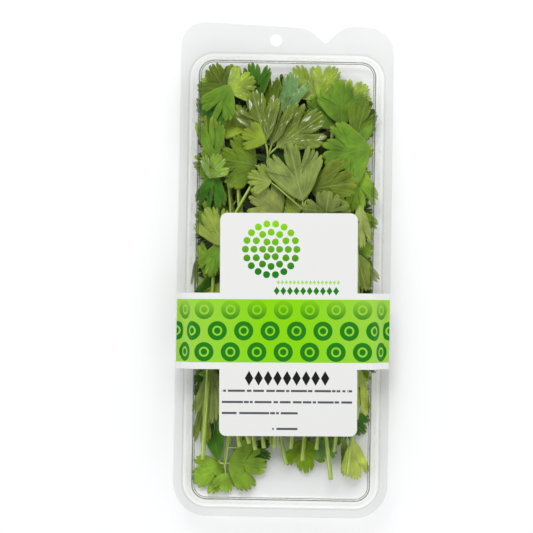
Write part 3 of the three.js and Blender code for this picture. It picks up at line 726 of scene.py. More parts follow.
# The tray's profile moved in by its sheet.
def insideOf(profile):
    path = np.array([(profile[0][0], profile[0][1] + 1), *profile, (0, profile[-1][1])])
    along = np.diff(path, axis=0)
    along /= np.linalg.norm(along, axis=1)[:, None]
    normals = np.stack([along[:, 1], -along[:, 0]], axis=1)
    moved = [
        point + (n1 + n2) * pack["sheet"] / (1 + n1 @ n2)
        for point, n1, n2 in zip(path[1:-1], normals[:-1], normals[1:])
    ]
    moved[0] = np.array((moved[0][0], profile[0][1] + 0.2))
    return moved


def emptyPile():
    x = np.abs(np.arange(2 * pack["halfWidth"]) + 0.5 - pack["halfWidth"])[None, :]
    y = np.arange(2 * pack["halfLength"]) + 0.5 - pack["halfLength"] - pack["wellCentreY"]
    y = np.abs(y)[:, None] - pack["wellLonger"]
    dx, dy = x - pack["cornerInset"], y - pack["cornerInset"]
    outline = np.where((dx > 0) & (dy > 0), pack["cornerInset"] + np.hypot(dx, dy), np.maximum(x, y))
    inside = insideOf(trayProfile)
    pile = np.full(outline.shape, inside[-1][1])
    for (d1, z1), (d2, z2) in reversed(list(zip(inside[:-1], inside[1:]))):
        slope = (z1 - z2) / ((d1 - d2) or 1)
        pile = np.where(outline >= d2, z2 + slope * np.minimum(outline - d2, d1 - d2), pile)
    return pile


def cellAt(x, y):
    column = np.floor(x).astype(int) + pack["halfWidth"]
    return np.floor(y).astype(int) + pack["halfLength"], column


def highest(pile, x, y, around):
    row, column = cellAt(np.array(x), np.array(y))
    return max(0, pile[row - around : row + around + 1, column - around : column + around + 1].max())


def raisePile(pile, points, more):
    rows, columns = cellAt(points[:, 0], points[:, 1])
    for i in (-1, 0, 1):
        for j in (-1, 0, 1):
            np.maximum.at(pile, (rows + i, columns + j), points[:, 2] + more)


# Weights that spread marks evenly over a triangle.
def spreadWeights(a, b, c):
    longest = max(math.hypot(*(b - a)[:2]), math.hypot(*(c - a)[:2]))
    steps = math.ceil(longest / pileRule["markGap"])
    pairs = [(i, j) for i in range(steps + 1) for j in range(steps + 1 - i)]
    return np.array([(1 - (i + j) / steps, i / steps, j / steps) for i, j in pairs])


def bladeFacets(count):
    return [(0, i, 1 if i == count - 1 else i + 1) for i in range(1, count)]


def evened(lifts):
    inner, ring = lifts[0], lifts[1:]
    beside = (np.roll(ring, 1) + np.roll(ring, -1) + inner) / 3
    return np.concatenate([[(inner + ring.mean()) / 2], (ring + beside) / 2])


# Lays a leaflet on the pile: moved in from the walls, tilted to what it lies on, sunk as far
# as its form allows, and bent up where something is in its way.
def layLeaflet(leaf, pile):
    c, s = math.cos(math.radians(leaf["heading"])), math.sin(math.radians(leaf["heading"]))
    flat = np.concatenate([[(leaf["size"] * bladeForm["middle"], 0)], bladeOutline(leaf)])
    base = np.array((leaf["x"], leaf["y"]))
    plan = base + flat @ np.array([(c, s), (-s, c)])
    over = [0.0, 0.0]
    centre = (0, pack["wellCentreY"])
    longer = (0, pack["wellLonger"])
    for x, y in plan:
        for k, value in enumerate((x, y)):
            beyond = abs(value - centre[k]) - leaf["reach"] - longer[k]
            if beyond > abs(over[k]):
                over[k] = math.copysign(beyond, value - centre[k])
    plan = plan - over

    reach = leaf["size"] * pileRule["tiltReach"]
    aside = reach * math.sin(math.radians(leaf["spread"]))

    def pileAt(along, left):
        x, y = base - over + np.array((along * c - left * s, along * s + left * c))
        return highest(pile, x, y, 2)

    limit = pileRule["tiltLimit"]
    pitch = np.clip((pileAt(reach, 0) - pileAt(0, 0)) / reach, -limit, limit)
    leftOver = pileAt(reach / 2, aside) - pileAt(reach / 2, -aside)
    roll = np.clip(leftOver / (2 * aside), -limit, limit)
    own = pitch * flat[:, 0] + roll * flat[:, 1] + bladeHeight(leaf, flat[:, 0], flat[:, 1])
    points = np.column_stack([plan, own])

    corners, weights = [], []
    for facet in bladeFacets(len(points)):
        spread = spreadWeights(*points[list(facet)])
        weights.append(spread)
        corners.append(np.tile(facet, (len(spread), 1)))
    corners, weights = np.concatenate(corners), np.concatenate(weights)
    samples = (points[corners] * weights[:, :, None]).sum(axis=1)
    under = pile[cellAt(samples[:, 0], samples[:, 1])]
    needed = under + bladeForm["thickness"] / 2 + pileRule["clearance"]
    pull = (weights**2).sum(axis=1)
    shorts = np.sort(needed - samples[:, 2])
    lifts = np.full(len(points), shorts[int((len(shorts) - 1) * leaf["stiff"])])
    for step in range(1, pileRule["passes"] + 1):
        lifts = evened(lifts) - pileRule["settle"]
        z = ((points[:, 2] + lifts)[corners] * weights).sum(axis=1)
        short = (needed - z) * (pileRule["ease"] if step < pileRule["passes"] else 1)
        raises = np.zeros(len(points))
        np.maximum.at(raises, corners, (short / pull)[:, None] * weights)
        lifts = lifts + raises
    leaf["laid"] = {"turn": (c, s), "base": base - over, "tilt": (pitch, roll), "lifts": lifts}
    leaf["points"] = points + np.column_stack([np.zeros((len(points), 2)), lifts])


def stampLeaflet(leaf, pile, bare):
    points = leaf["points"]
    for facet in bladeFacets(len(points)):
        corners = points[list(facet)]
        marks = spreadWeights(*corners) @ corners
        far = np.hypot(*(marks[:, :2] - points[1][:2]).T) >= bare
        raisePile(pile, marks[far], bladeForm["thickness"] / 2)


# Lays a stalk along [x, y] points, each as high as asked or as the pile makes it.
def layStalk(route, heights, radii, pile):
    radius = np.linspace(radii[0], radii[1], len(route))
    needed = []
    for i, point in enumerate(route):
        following = route[min(i + 1, len(route) - 1)]
        top = max(highest(pile, *(point + (following - point) * k / 20), 1) for k in range(21))
        needed.append(top + radius[i] + pileRule["clearance"])
    needed = np.array(needed)
    z = np.maximum(np.maximum(heights, needed), np.concatenate([[0], needed[:-1]]))
    return np.column_stack([route, z, radius])


# A smooth curve through [x, y] points, and points on it at shares of its length.
def smoothRoute(points, step):
    p = np.array(points, float)
    p = np.concatenate([[2 * p[0] - p[1]], p, [2 * p[-1] - p[-2]]])
    gaps = np.sqrt(np.linalg.norm(np.diff(p, axis=0), axis=1))

    def at(share):
        place = np.clip(share, 0, 1) * (len(points) - 1)
        k = np.minimum(place.astype(int), len(points) - 2)
        t = (place - k)[:, None]
        p0, p1, p2, p3 = p[k], p[k + 1], p[k + 2], p[k + 3]
        g0, g1, g2 = gaps[k][:, None], gaps[k + 1][:, None], gaps[k + 2][:, None]
        t1 = ((p1 - p0) / g0 - (p2 - p0) / (g0 + g1) + (p2 - p1) / g1) * g1
        t2 = ((p2 - p1) / g1 - (p3 - p1) / (g1 + g2) + (p3 - p2) / g2) * g1
        bent = (2 * p1 - 2 * p2 + t1 + t2) * t**3 + (3 * p2 - 3 * p1 - 2 * t1 - t2) * t**2
        return bent + t1 * t + p1

    marks = np.linspace(0, 1, 201)
    lengths = np.linalg.norm(np.diff(at(marks), axis=0), axis=1).cumsum()
    lengths = np.concatenate([[0], lengths])
    count = max(2, int(lengths[-1] / step + 0.5))
    return at(np.interp(np.linspace(0, 1, count + 1) * lengths[-1], lengths, marks))


# The point of a laid stem that lies a distance below its tip.
def stemPoint(path, distance):
    left = distance
    for i in range(len(path) - 1, 0, -1):
        length = math.hypot(*(path[i] - path[i - 1])[:2])
        if left <= length:
            return path[i] + (path[i - 1] - path[i]) * left / length
        left -= length
    return path[0]


def stampStalk(path, pile):
    for before, point in zip(path[:-1], path[1:]):
        steps = math.ceil(math.hypot(*(point - before)[:2]) / pileRule["markGap"]) + 1
        marks = point + (before - point) * np.linspace(0, 1, steps + 1)[:, None]
        raisePile(pile, marks[:, :3] + np.outer(marks[:, 3], (0, 0, 1)), 0)


# Lays a sprig on the pile and marks it there.
def laySprig(grown, pile):
    route = smoothRoute(grown["stem"], stemForm["step"])
    stem = layStalk(route, np.zeros(len(route)), (stemForm["foot"], stemForm["tip"]), pile)
    own = pile.copy()
    stampStalk(np.array([*stem[:-1], stemPoint(stem, pileRule["bareTip"])]), own)
    for leaf in grown["leaflets"]:
        layLeaflet(leaf, own)
        stampLeaflet(leaf, own, pileRule["bareBase"])
    stalks = []
    for leaf in grown["leaflets"]:
        inner, base = leaf["points"][0], leaf["points"][1]
        root = stemPoint(stem, leaf["at"])
        steps = max(1, int(math.hypot(*(base - root[:3])[:2]) / stemForm["stalkStep"] + 0.5))
        line = root[:3] + (base - root[:3]) * np.linspace(0, 1, steps + 1)[:, None]
        laid = layStalk(line[:, :2], line[:, 2], (stemForm["stalk"],) * 2, pile)
        laid[0, 2], laid[-1, 2] = root[2], base[2]
        end = base + (inner - base) * stalkEnd["share"] - (0, 0, stalkEnd["below"])
        stalks.append(np.concatenate([laid, [[*end, stalkEnd["radius"]]]]))
    for path in (stem, *stalks):
        stampStalk(path, pile)
    for leaf in grown["leaflets"]:
        stampLeaflet(leaf, pile, 0)
    return stem, stalks


# A leaflet's finer form: how many points it has, and how its edge and face depart from the
# plain outline, as shares of its size.
blade = {
    "thickness": 0.36,  # millimetres
    "halfTooth": 12,  # points along half a tooth
    "sidePoints": 9,
    "rings": 8,
    "ringBunching": 0.8,
    "lobeShare": 1.2,  # of the depths that each leaflet has
    "cutShare": 0.8,
    "unevenCuts": 0.6,
    "unevenTeeth": 0.05,
    "nick": 0.09,
    "leastNick": 0.6,
    "unevenNicks": 0.8,
    "rounding": 0.17,
    "roundInLobe": 0.35,
    "bulge": 0.035,
    "grow": 1.07,
    "sway": 0.06,
    "swayWaves": 4.7,
    "ripple": 0.022,
    "rippleWaves": 11,
    "phases": 6.3,
    "lighterBy": 0.3,
    "seed": 7,
}


# Smooth values round a closed ring, at places given in its own numbering.
def roundRing(values, places):
    count = len(values)
    k = np.floor(places).astype(int)
    t = places - k
    before, here, after, beyond = (values[(k + i) % count] for i in (-1, 0, 1, 2))
    slope1, slope2 = (after - before) / 2, (beyond - here) / 2
    bent = (2 * t**3 - 3 * t**2 + 1) * here + (t**3 - 2 * t**2 + t) * slope1
    return bent + (3 * t**2 - 2 * t**3) * after + (t**3 - t**2) * slope2


# How far a round tooth falls away from its tip, as a share of its cut.
def scallop(off):
    return 1 - np.sqrt(np.maximum(0, 1 - off**2.4))


# Places round a leaflet, and how far each lies from the middle of its lobe.
def lobeOffs(lobeCut, steps):
    places = np.array([0, lobeCut, lobeCut + 1e-6, steps - lobeCut, steps - lobeCut + 1e-6, steps])
    return places, np.array([-1, 1, -1, 1, -1, 1])


# A leaflet's top face as rings of points round the middle of its midrib, with rounded teeth.
def fineBlade(leaf, detail, random):
    laid = leaf["laid"]
    halfTooth = max(2, int(blade["halfTooth"] * detail))
    ringCount = max(4, int(blade["rings"] * detail))
    sidePoints = max(3, int(blade["sidePoints"] * detail))
    steps = 2 * leaf["teeth"]
    lobeCut = 2 * int(leaf["teeth"] / 3 + 0.5)
    lobe, cut = leaf["lobes"] * blade["lobeShare"], leaf["cuts"] * blade["cutShare"]
    cuts = np.array([lobe if i in (lobeCut, steps - lobeCut) else cut for i in range(steps + 1)])
    cuts = cuts * np.array([1 + blade["unevenCuts"] * (random() - 0.5) for _ in cuts])
    nicks = np.array([blade["leastNick"] + blade["unevenNicks"] * random() for _ in cuts])
    longer = np.array([blade["unevenTeeth"] * (random() - 0.5) for _ in cuts])

    place = np.arange(steps * halfTooth + 1) / halfTooth
    tooth = np.minimum(2 * np.floor(place / 2) + 1, steps - 1)
    off = np.abs(place - tooth)
    beside = np.where(place > tooth, np.minimum(tooth + 1, steps), tooth - 1).astype(int)
    cut = cuts[beside]
    angle = math.radians(leaf["spread"]) * (2 * place / steps - 1)
    front = bladeForm["front"] * np.cos(angle * 90 / leaf["spread"])
    reach = leaf["size"] * (bladeForm["sides"] + front)
    tooth = tooth.astype(int)
    nick = blade["nick"] * nicks[tooth] * scallop(np.abs(2 * off - 1))
    ofLobe = np.isin(beside, (lobeCut, steps - lobeCut))
    lobeOff = np.abs(np.interp(place, *lobeOffs(lobeCut, steps)))
    reach = reach * (1 - blade["rounding"] * lobeOff**2.5)
    inLobe = blade["roundInLobe"] * scallop(off) + (1 - blade["roundInLobe"]) * off**1.8
    shape = np.where(ofLobe, inLobe, scallop(off))
    reach = reach * (1 - cut * shape - nick) * (1 + longer[tooth] * (1 - off**2)) * blade["grow"]
    phase = blade["phases"] * random()
    sway = np.sin(math.pi * place / steps) * np.sin(blade["swayWaves"] * angle + phase)
    angle = angle + blade["sway"] * sway * math.radians(leaf["spread"])
    edge = np.column_stack([reach * np.cos(angle), reach * np.sin(angle)])
    side = np.arange(sidePoints) / sidePoints
    bulge = blade["bulge"] * leaf["size"] * np.sin(math.pi * side)
    startSide = edge[0] * side[:, None] + np.outer(bulge, (math.sin(angle[0]), -math.cos(angle[0])))
    aside = (-math.sin(angle[-1]), math.cos(angle[-1]))
    backSide = edge[-1] * (1 - side[1:, None]) + np.outer(bulge[1:][::-1], aside)
    ring = np.concatenate([startSide, edge, backSide])
    places = np.concatenate([side, 1 + place, 1 + steps + side[1:]])

    lifts = roundRing(laid["lifts"][1:], places)
    shares = (np.arange(1, ringCount + 1) / ringCount) ** blade["ringBunching"]
    middle = np.array((leaf["size"] * bladeForm["middle"], 0))
    flat = middle + shares[:, None, None] * (ring - middle)
    lift = laid["lifts"][0] + shares[:, None] * (lifts - laid["lifts"][0])
    for _ in range(2):
        lift = (np.roll(lift, 1, axis=1) + 2 * lift + np.roll(lift, -1, axis=1)) / 4
    flat = np.concatenate([[middle], flat.reshape(-1, 2)])
    lift = np.concatenate([[(lift[0].mean() + laid["lifts"][0]) / 2], lift.reshape(-1)])

    along, left = flat[:, 0], flat[:, 1]
    out = np.hypot(along, left) / leaf["size"]
    angle = np.arctan2(left, along)
    phase = blade["phases"] * random()
    ripple = blade["ripple"] * leaf["size"] * out**3 * np.sin(blade["rippleWaves"] * angle + phase)
    z = laid["tilt"][0] * along + laid["tilt"][1] * left + bladeHeight(leaf, along, left) + lift + ripple
    c, s = laid["turn"]
    xy = laid["base"] + flat @ np.array([(c, s), (-s, c)])
    rim = np.concatenate([[0], np.repeat(shares, len(ring))])
    return np.column_stack([xy, z]), flat, rim, len(ring)


# Faces of a closed blade whose top and bottom are rings round one middle point each.
def bladeFaces(count, ringLength, first):
    rings = (count - 1) // ringLength
    faces = []
    for i in range(ringLength):
        j = (i + 1) % ringLength
        faces.append((first, first + 1 + i, first + 1 + j))
        faces.append((first + count, first + count + 1 + j, first + count + 1 + i))
        for ring in range(rings - 1):
            a = first + 1 + ring * ringLength
            b = a + ringLength
            faces.append((a + i, b + i, b + j, a + j))
            faces.append((a + count + j, b + count + j, b + count + i, a + count + i))
        a = first + 1 + (rings - 1) * ringLength
        faces.append((a + i, a + count + i, a + count + j, a + j))
    return faces


# Round stalks: sides, and how far apart their rings are. A bend is eased over a short length.
stalkRings = {"stem": (12, 2.5), "stalk": (8, 1.2), "easeOver": 5, "easePoints": 9}


# Points of a round stalk along a laid path, and its faces.
def stalkMesh(path, sides, step, first):
    lengths = np.concatenate([[0], np.linalg.norm(np.diff(path[:, :3], axis=0), axis=1).cumsum()])
    count = max(2, int(lengths[-1] / step + 0.5))
    marks = np.linspace(0, lengths[-1], count + 1)
    window = np.linspace(-1, 1, stalkRings["easePoints"]) * min(stalkRings["easeOver"], lengths[-1] / 4)
    soft = np.clip(marks[:, None] + window, 0, lengths[-1])
    soft[0], soft[-1] = 0, lengths[-1]
    line = np.column_stack([np.interp(soft, lengths, path[:, k]).mean(axis=1) for k in range(4)])
    along = np.gradient(line[:, :3], axis=0)
    along /= np.linalg.norm(along, axis=1)[:, None]
    across = np.cross(along, (0, 0, 1))
    across /= np.linalg.norm(across, axis=1)[:, None]
    up = np.cross(across, along)
    turns = 2 * math.pi * np.arange(sides) / sides
    points = []
    for i in range(count + 1):
        rim = np.outer(np.cos(turns), across[i]) + np.outer(np.sin(turns), up[i])
        points.append(line[i, :3] + rim * line[i, 3])
    faces = []
    for i in range(count):
        a = first + i * sides
        for k in range(sides):
            j = (k + 1) % sides
            faces.append((a + k, a + j, a + sides + j, a + sides + k))
    faces.append(tuple(first + k for k in reversed(range(sides))))
    faces.append(tuple(first + count * sides + k for k in range(sides)))
    return np.concatenate(points), faces, marks


# Fresh leaf blades: a waxy skin over green flesh, with veins that fan out from the stalk to each tooth.
# The light shows through them, and those on top are wet, with painted highlights on their water.
tints = {
    "blue": "#7aa85e",
    "deep": "#3f7610",
    "mid": "#729d2a",
    "moss": "#6f8d1f",
    "bright": "#96bf38",
    "fresh": "#90b50c",
    "lime": "#a4be38",
    "olive": "#7c922a",
    "palest": "#ccdc5c",
    "pale": "#9eb246",
    "sage": "#8da050",
    "faded": "#b6c568",
    "brown": "#627c0c",
    # The dark and shade tints are painted shade: near-black greens for leaflets that lie deep in the
    # bunch or in its gaps, where only shade falls.
    "dark": "#2a4a10",
    "shade": "#28480e",
}
veins = {
    "unit": 30,  # millimetres in a unit of the blade map
    "narrow": 0.05,
    "wide": 0.35,
    "midrib": (0.12, 0.5),
    "colour": "#b9cb78",
    "above": 0.07,  # how much they show on an upper face
}
# The glint colour is a painted highlight for the wet leaves.
skinForm = {"edge": "#a3b63c", "paintedGlint": "#f4f7ee", "wetRoughness": 0.06, "throughShare": 0.2}
# How much they show on the leaves that lie with their paler underside up.
undersides = {"pale": 0.3, "faded": 0.3, "sage": 0.3, "palest": 0.35, "olive": 0.24, "moss": 0.15}

leafSkin, tree = newMaterial("coriander leaf, waxy skin")
tint = addNode(tree, "VertexColor", layer_name="tint")
bladeMap = addNode(tree, "UVMap", uv_map="blade")
toothTurn = addNode(tree, "Attribute", attribute_name="toothTurn")
rim = addNode(tree, "Attribute", attribute_name="rim")
wet = addNode(tree, "Attribute", attribute_name="wet")
ribbed = addNode(tree, "Attribute", attribute_name="ribbed")
split = addNode(tree, "SeparateXYZ", {0: bladeMap})
angle = addNode(tree, "Math", {0: split.outputs[1], 1: split.outputs[0]}, operation="ARCTAN2")
radius = addNode(tree, "VectorMath", {0: bladeMap}, operation="LENGTH")
toothPlace = addNode(tree, "Math", {0: angle, 1: toothTurn.outputs["Fac"]}, operation="DIVIDE")
toothShift = addNode(tree, "Math", {0: toothPlace, 1: 0.5}, operation="ADD")
toothShare = addNode(tree, "Math", {0: toothShift}, operation="FRACT")
toothOff = addNode(tree, "Math", {0: toothShare, 1: 0.5}, operation="SUBTRACT")
toothDistance = addNode(tree, "Math", {0: toothOff}, operation="ABSOLUTE")
veinAngle = addNode(tree, "Math", {0: toothDistance, 1: toothTurn.outputs["Fac"]}, operation="MULTIPLY")
veinDistance = addNode(tree, "Math", {0: veinAngle, 1: radius.outputs["Value"]}, operation="MULTIPLY")
vein = addNode(
    tree,
    "MapRange",
    {
        "Value": veinDistance,
        "From Min": veins["narrow"] / veins["unit"],
        "From Max": veins["wide"] / veins["unit"],
        "To Min": 1.0,
        "To Max": 0.0,
    },
    interpolation_type="SMOOTHSTEP",
)
offMidrib = addNode(tree, "Math", {0: split.outputs[1]}, operation="ABSOLUTE")
midrib = addNode(
    tree,
    "MapRange",
    {
        "Value": offMidrib,
        "From Min": veins["midrib"][0] / veins["unit"],
        "From Max": veins["midrib"][1] / veins["unit"],
        "To Min": 1.6,
        "To Max": 0.0,
    },
    interpolation_type="SMOOTHSTEP",
)
# The finer veins, as streaks that fan out with the others.
fanPlace = addNode(tree, "CombineXYZ", {0: angle, 1: radius.outputs["Value"]})
fanScale = addNode(tree, "Mapping", {"Vector": fanPlace, "Scale": (9.0, 5.0, 1.0)})
streaks = addNode(tree, "TexNoise", {"Vector": fanScale, "Scale": 1.0, "Detail": 4.0})
# Paler and darker patches 7 mm wide, and cells 0.7 mm wide.
place = addNode(tree, "TexCoord")
patches = addNode(tree, "TexNoise", {"Vector": place.outputs["Object"], "Scale": 140.0, "Detail": 3.0})
cells = addNode(tree, "TexNoise", {"Vector": place.outputs["Object"], "Scale": 1400.0, "Detail": 2.0})
mottled = addNode(
    tree,
    "MapRange",
    {"Value": patches, "From Min": 0.3, "From Max": 0.7, "To Min": 0.7, "To Max": 1.25},
)
streaked = addNode(
    tree, "MapRange", {"Value": streaks, "From Min": 0.3, "From Max": 0.7, "To Min": 0.9, "To Max": 1.1}
)
uneven = addNode(tree, "Math", {0: mottled, 1: streaked}, operation="MULTIPLY")
body = addNode(tree, "VectorMath", {0: tint.outputs["Color"], 1: uneven}, operation="MULTIPLY")
ribs = addNode(tree, "Math", {0: vein, 1: midrib}, operation="MAXIMUM")
veinShare = addNode(tree, "Math", {0: ribs, 1: ribbed.outputs["Fac"]}, operation="MULTIPLY")
veined = addNode(
    tree, "Mix", {"Factor": veinShare, 6: body, 7: linear(veins["colour"])}, data_type="RGBA"
)
rimShare = addNode(
    tree,
    "MapRange",
    {"Value": rim.outputs["Fac"], "From Min": 0.84, "From Max": 1.0, "To Min": 0.0, "To Max": 0.42},
)
edged = addNode(
    tree,
    "Mix",
    {"Factor": rimShare, 6: veined.outputs[2], 7: linear(skinForm["edge"])},
    data_type="RGBA",
)
relief = addNode(tree, "Math", {0: vein, 1: -0.35, 2: streaks}, operation="MULTIPLY_ADD")
fineRelief = addNode(tree, "Math", {0: cells, 1: 0.35, 2: relief}, operation="MULTIPLY_ADD")
bump = addNode(tree, "Bump", {"Strength": 0.4, "Distance": 0.0003, "Height": fineRelief})
roughness = addNode(
    tree, "MapRange", {"Value": patches, "From Min": 0.3, "From Max": 0.7, "To Min": 0.4, "To Max": 0.6}
)
# Water gathers in beads 2.4 mm wide and in films between them.
beads = addNode(tree, "TexNoise", {"Vector": place.outputs["Object"], "Scale": 420.0, "Detail": 1.0})
wetRelief = addNode(tree, "Bump", {"Strength": 1.0, "Distance": 0.0022, "Height": beads})
film = addNode(
    tree, "MapRange", {"Value": beads, "From Min": 0.42, "From Max": 0.6, "To Min": 0.0, "To Max": 1.0}
)
wetShare = addNode(tree, "Math", {0: film, 1: wet.outputs["Fac"]}, operation="MULTIPLY")
# Painted highlights: the wet tops are painted near-white, in short streaks along the veins, for the
# light their water catches.
glintPlace = addNode(tree, "Mapping", {"Vector": fanPlace, "Scale": (11.0, 4.5, 1.0)})
glintNoise = addNode(
    tree, "TexNoise", {"Vector": glintPlace, "Scale": 1.0, "Detail": 2.5, "Distortion": 0.8}
)
glintSpots = addNode(
    tree,
    "MapRange",
    {"Value": glintNoise, "From Min": 0.62, "From Max": 0.69, "To Min": 0.0, "To Max": 0.95},
)
glintShare = addNode(tree, "Math", {0: glintSpots, 1: wet.outputs["Fac"]}, operation="MULTIPLY")
paintedHighlight = addNode(
    tree,
    "Mix",
    {"Factor": glintShare, 6: edged.outputs[2], 7: linear(skinForm["paintedGlint"])},
    data_type="RGBA",
)
skin = addNode(
    tree,
    "BsdfPrincipled",
    {
        "Base Color": paintedHighlight.outputs[2],
        "Roughness": roughness,
        "Normal": bump,
        "Specular IOR Level": 0.2,
        "Coat Weight": wetShare,
        "Coat Roughness": skinForm["wetRoughness"],
        "Coat Normal": wetRelief,
    },
)
through = addNode(tree, "BsdfTranslucent", {"Color": edged.outputs[2], "Normal": bump})
leafMix = addNode(tree, "MixShader", {0: skinForm["throughShare"], 1: skin, 2: through})
addNode(tree, "OutputMaterial", {"Surface": leafMix})

# Pale fleshy stems: watery, streaked along their length, with a soft gloss.
stemForm |= {"rib": "#5f8418", "flesh": "#c9dc6a", "gloss": 0.3, "glow": 0.15}
stemSkin, tree = newMaterial("coriander stem, ribbed flesh")
stemMap = addNode(tree, "UVMap", uv_map="blade")
streak = addNode(tree, "Mapping", {"Vector": stemMap, "Scale": (5.0, 0.9, 1.0)})
ribs = addNode(tree, "TexNoise", {"Vector": streak, "Scale": 1.0, "Detail": 3.0})
ribShare = addNode(tree, "MapRange", {"Value": ribs, "From Min": 0.32, "From Max": 0.62})
flesh = addNode(
    tree,
    "Mix",
    {"Factor": ribShare, 6: linear(stemForm["rib"]), 7: linear(stemForm["flesh"])},
    data_type="RGBA",
)
bump = addNode(tree, "Bump", {"Strength": 0.3, "Distance": 0.0003, "Height": ribs})
skin = addNode(
    tree,
    "BsdfPrincipled",
    {
        "Base Color": flesh.outputs[2],
        "Roughness": stemForm["gloss"],
        "Normal": bump,
        "Subsurface Weight": stemForm["glow"],
        "Subsurface Radius": (0.001, 0.0014, 0.0004),
    },
)
addNode(tree, "OutputMaterial", {"Surface": skin})


# A sprig as one mesh, whose blade map and layers tell the materials where its veins, rims and
# water are.
def sprigPiece(name, grown, stem, stalks, detail, random):
    points, faces, stemFaces, uvs, colours = [], [], [], [], []
    layers = {"toothTurn": [], "rim": [], "wet": [], "ribbed": []}
    first = 0

    def take(newPoints, newUvs, colour, **values):
        nonlocal first
        points.append(newPoints)
        uvs.append(newUvs)
        colours.append(np.tile(colour, (len(newPoints), 1)))
        for layer in layers:
            layers[layer].append(np.zeros(len(newPoints)) + values.get(layer, 0))
        first += len(newPoints)

    for path in (stem, *stalks):
        sides, step = stalkRings["stem" if path is stem else "stalk"]
        made, newFaces, marks = stalkMesh(path, sides, step, first)
        u = np.tile(np.arange(sides) / sides, len(marks))
        stemFaces += range(len(faces), len(faces) + len(newFaces))
        faces += newFaces
        take(made, np.column_stack([u, np.repeat(marks, sides) / veins["unit"]]), linear(tints["lime"]))
    for leaf in grown["leaflets"]:
        top, flat, rim, ringLength = fineBlade(leaf, detail, random)
        half = np.array((0, 0, blade["thickness"] / 2))
        faces += bladeFaces(len(top), ringLength, first)
        turn = math.radians(2 * leaf["spread"] / leaf["teeth"])
        lighter = 1 + blade["lighterBy"] * (random() - 0.5)
        colour = [channel * lighter for channel in linear(tints[leaf["tint"]])[:3]] + [1]
        closed = np.concatenate([top + half, top - half])
        flats = np.tile(flat / veins["unit"], (2, 1))
        ribbed = undersides.get(leaf["tint"], veins["above"])
        take(closed, flats, colour, toothTurn=turn, rim=np.tile(rim, 2), wet=leaf["wet"], ribbed=ribbed)

    mesh = bpy.data.meshes.new(name)
    mesh.from_pydata((np.concatenate(points) * mm).tolist(), [], faces)
    mesh.materials.append(leafSkin)
    mesh.materials.append(stemSkin)
    slots = np.zeros(len(faces), int)
    slots[stemFaces] = 1
    mesh.polygons.foreach_set("material_index", slots)
    mesh.polygons.foreach_set("use_smooth", np.ones(len(faces), bool))
    corners = np.empty(len(mesh.loops), int)
    mesh.loops.foreach_get("vertex_index", corners)
    mesh.uv_layers.new(name="blade").data.foreach_set("uv", np.concatenate(uvs)[corners].ravel())
    tintLayer = mesh.color_attributes.new("tint", "FLOAT_COLOR", "POINT")
    tintLayer.data.foreach_set("color", np.concatenate(colours).ravel())
    for layer, values in layers.items():
        mesh.attributes.new(layer, "FLOAT", "POINT").data.foreach_set("value", np.concatenate(values))
    mesh.validate()
    piece = bpy.data.objects.new(name, mesh)
    scene.collection.objects.link(piece)
    return piece


# Low leaflets that fill the tray along its walls and its middle, each row on its own stem; the middle
# row, and some along the walls, are painted shade with the near-black shade and dark tints.
lowRows = [
    {"name": "left_leaves", "x": -39, "aside": 5, "low": -74, "high": 100, "count": 15},
    {"name": "right_leaves", "x": 39, "aside": 5, "low": -74, "high": 84, "count": 14},
    {"name": "middle_leaves", "x": -2, "aside": 44, "low": 26, "high": 68, "count": 8},
]
lowForm = {
    "seed": 31,
    "size": 15,
    "larger": 4,
    "spread": 44,
    "wider": 14,
    "reach": 44.9,
    "turn": (12, 66),
    "turnedBack": 0.6,  # every third leaflet turns the other way, by this share
    "uneven": 0.6,
    "detail": 0.6,
}
lowStem = {"footAside": 12, "footBelow": 6, "middleAside": 2, "tipAbove": 4}
lowLeaf = {"teeth": 5, "stiff": 0.6, "bend": 0.02, "fold": 0.03}
# The shade and dark tints here are painted shade for the gaps deep in the bunch.
lowColours = {"wall": ("deep", "lime", "mid", "shade", "bright"), "middle": ("shade", "dark")}


def lowSprig(row, random):
    side = math.copysign(1, row["x"])
    tip = row["high"] + lowStem["tipAbove"]
    colours = lowColours["wall" if abs(row["x"]) > 10 else "middle"]
    leaflets = []
    for i in range(row["count"]):
        y = row["low"] + (row["high"] - row["low"]) * (i + lowForm["uneven"] * random()) / row["count"]
        least, more = lowForm["turn"]
        heading = 90 - side * (least + more * random()) * (1 if i % 3 else -lowForm["turnedBack"])
        size = lowForm["size"] + lowForm["larger"] * random()
        x = row["x"] + row["aside"] * (random() - 0.5)
        colour = colours[int(random() * len(colours))]
        form = lowLeaf | {"spread": lowForm["spread"] + lowForm["wider"] * random()}
        leaflets.append(leaflet(tip - y, x, y, heading, size, colour, reach=lowForm["reach"], **form))
    foot = (row["x"] - side * lowStem["footAside"], row["low"] - lowStem["footBelow"])
    middle = (row["x"] - side * lowStem["middleAside"], 0)
    return sprig([foot, middle, (row["x"], tip)], *leaflets)


random = randomFrom(lowForm["seed"])
pieces = []
for row in lowRows:
    grown = lowSprig(row, random)
    stem, stalks = laySprig(grown, emptyPile())
    pieces.append(sprigPiece(row["name"], grown, stem, stalks, lowForm["detail"], random))

# All other sprigs are laid one after another, each on those before it.
pile = emptyPile()
random = randomFrom(blade["seed"])
hidden = drawnSprigs()
for i, grown in enumerate([*hidden, *placedSprigs]):
    node = f"sprig_{i + 1:02d}"
    stem, stalks = laySprig(grown, pile)
    detail = hiddenSprigs["detail"] if i < len(hidden) else 1
    pieces.append(sprigPiece(node + "_leafy", grown, stem, stalks, detail, random))
    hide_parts(node)
for piece in pieces:
    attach(piece, "tray")
triangles = sum(2 * len(piece.data.vertices) for piece in pieces)
print("coriander laid, about", triangles, "triangles")

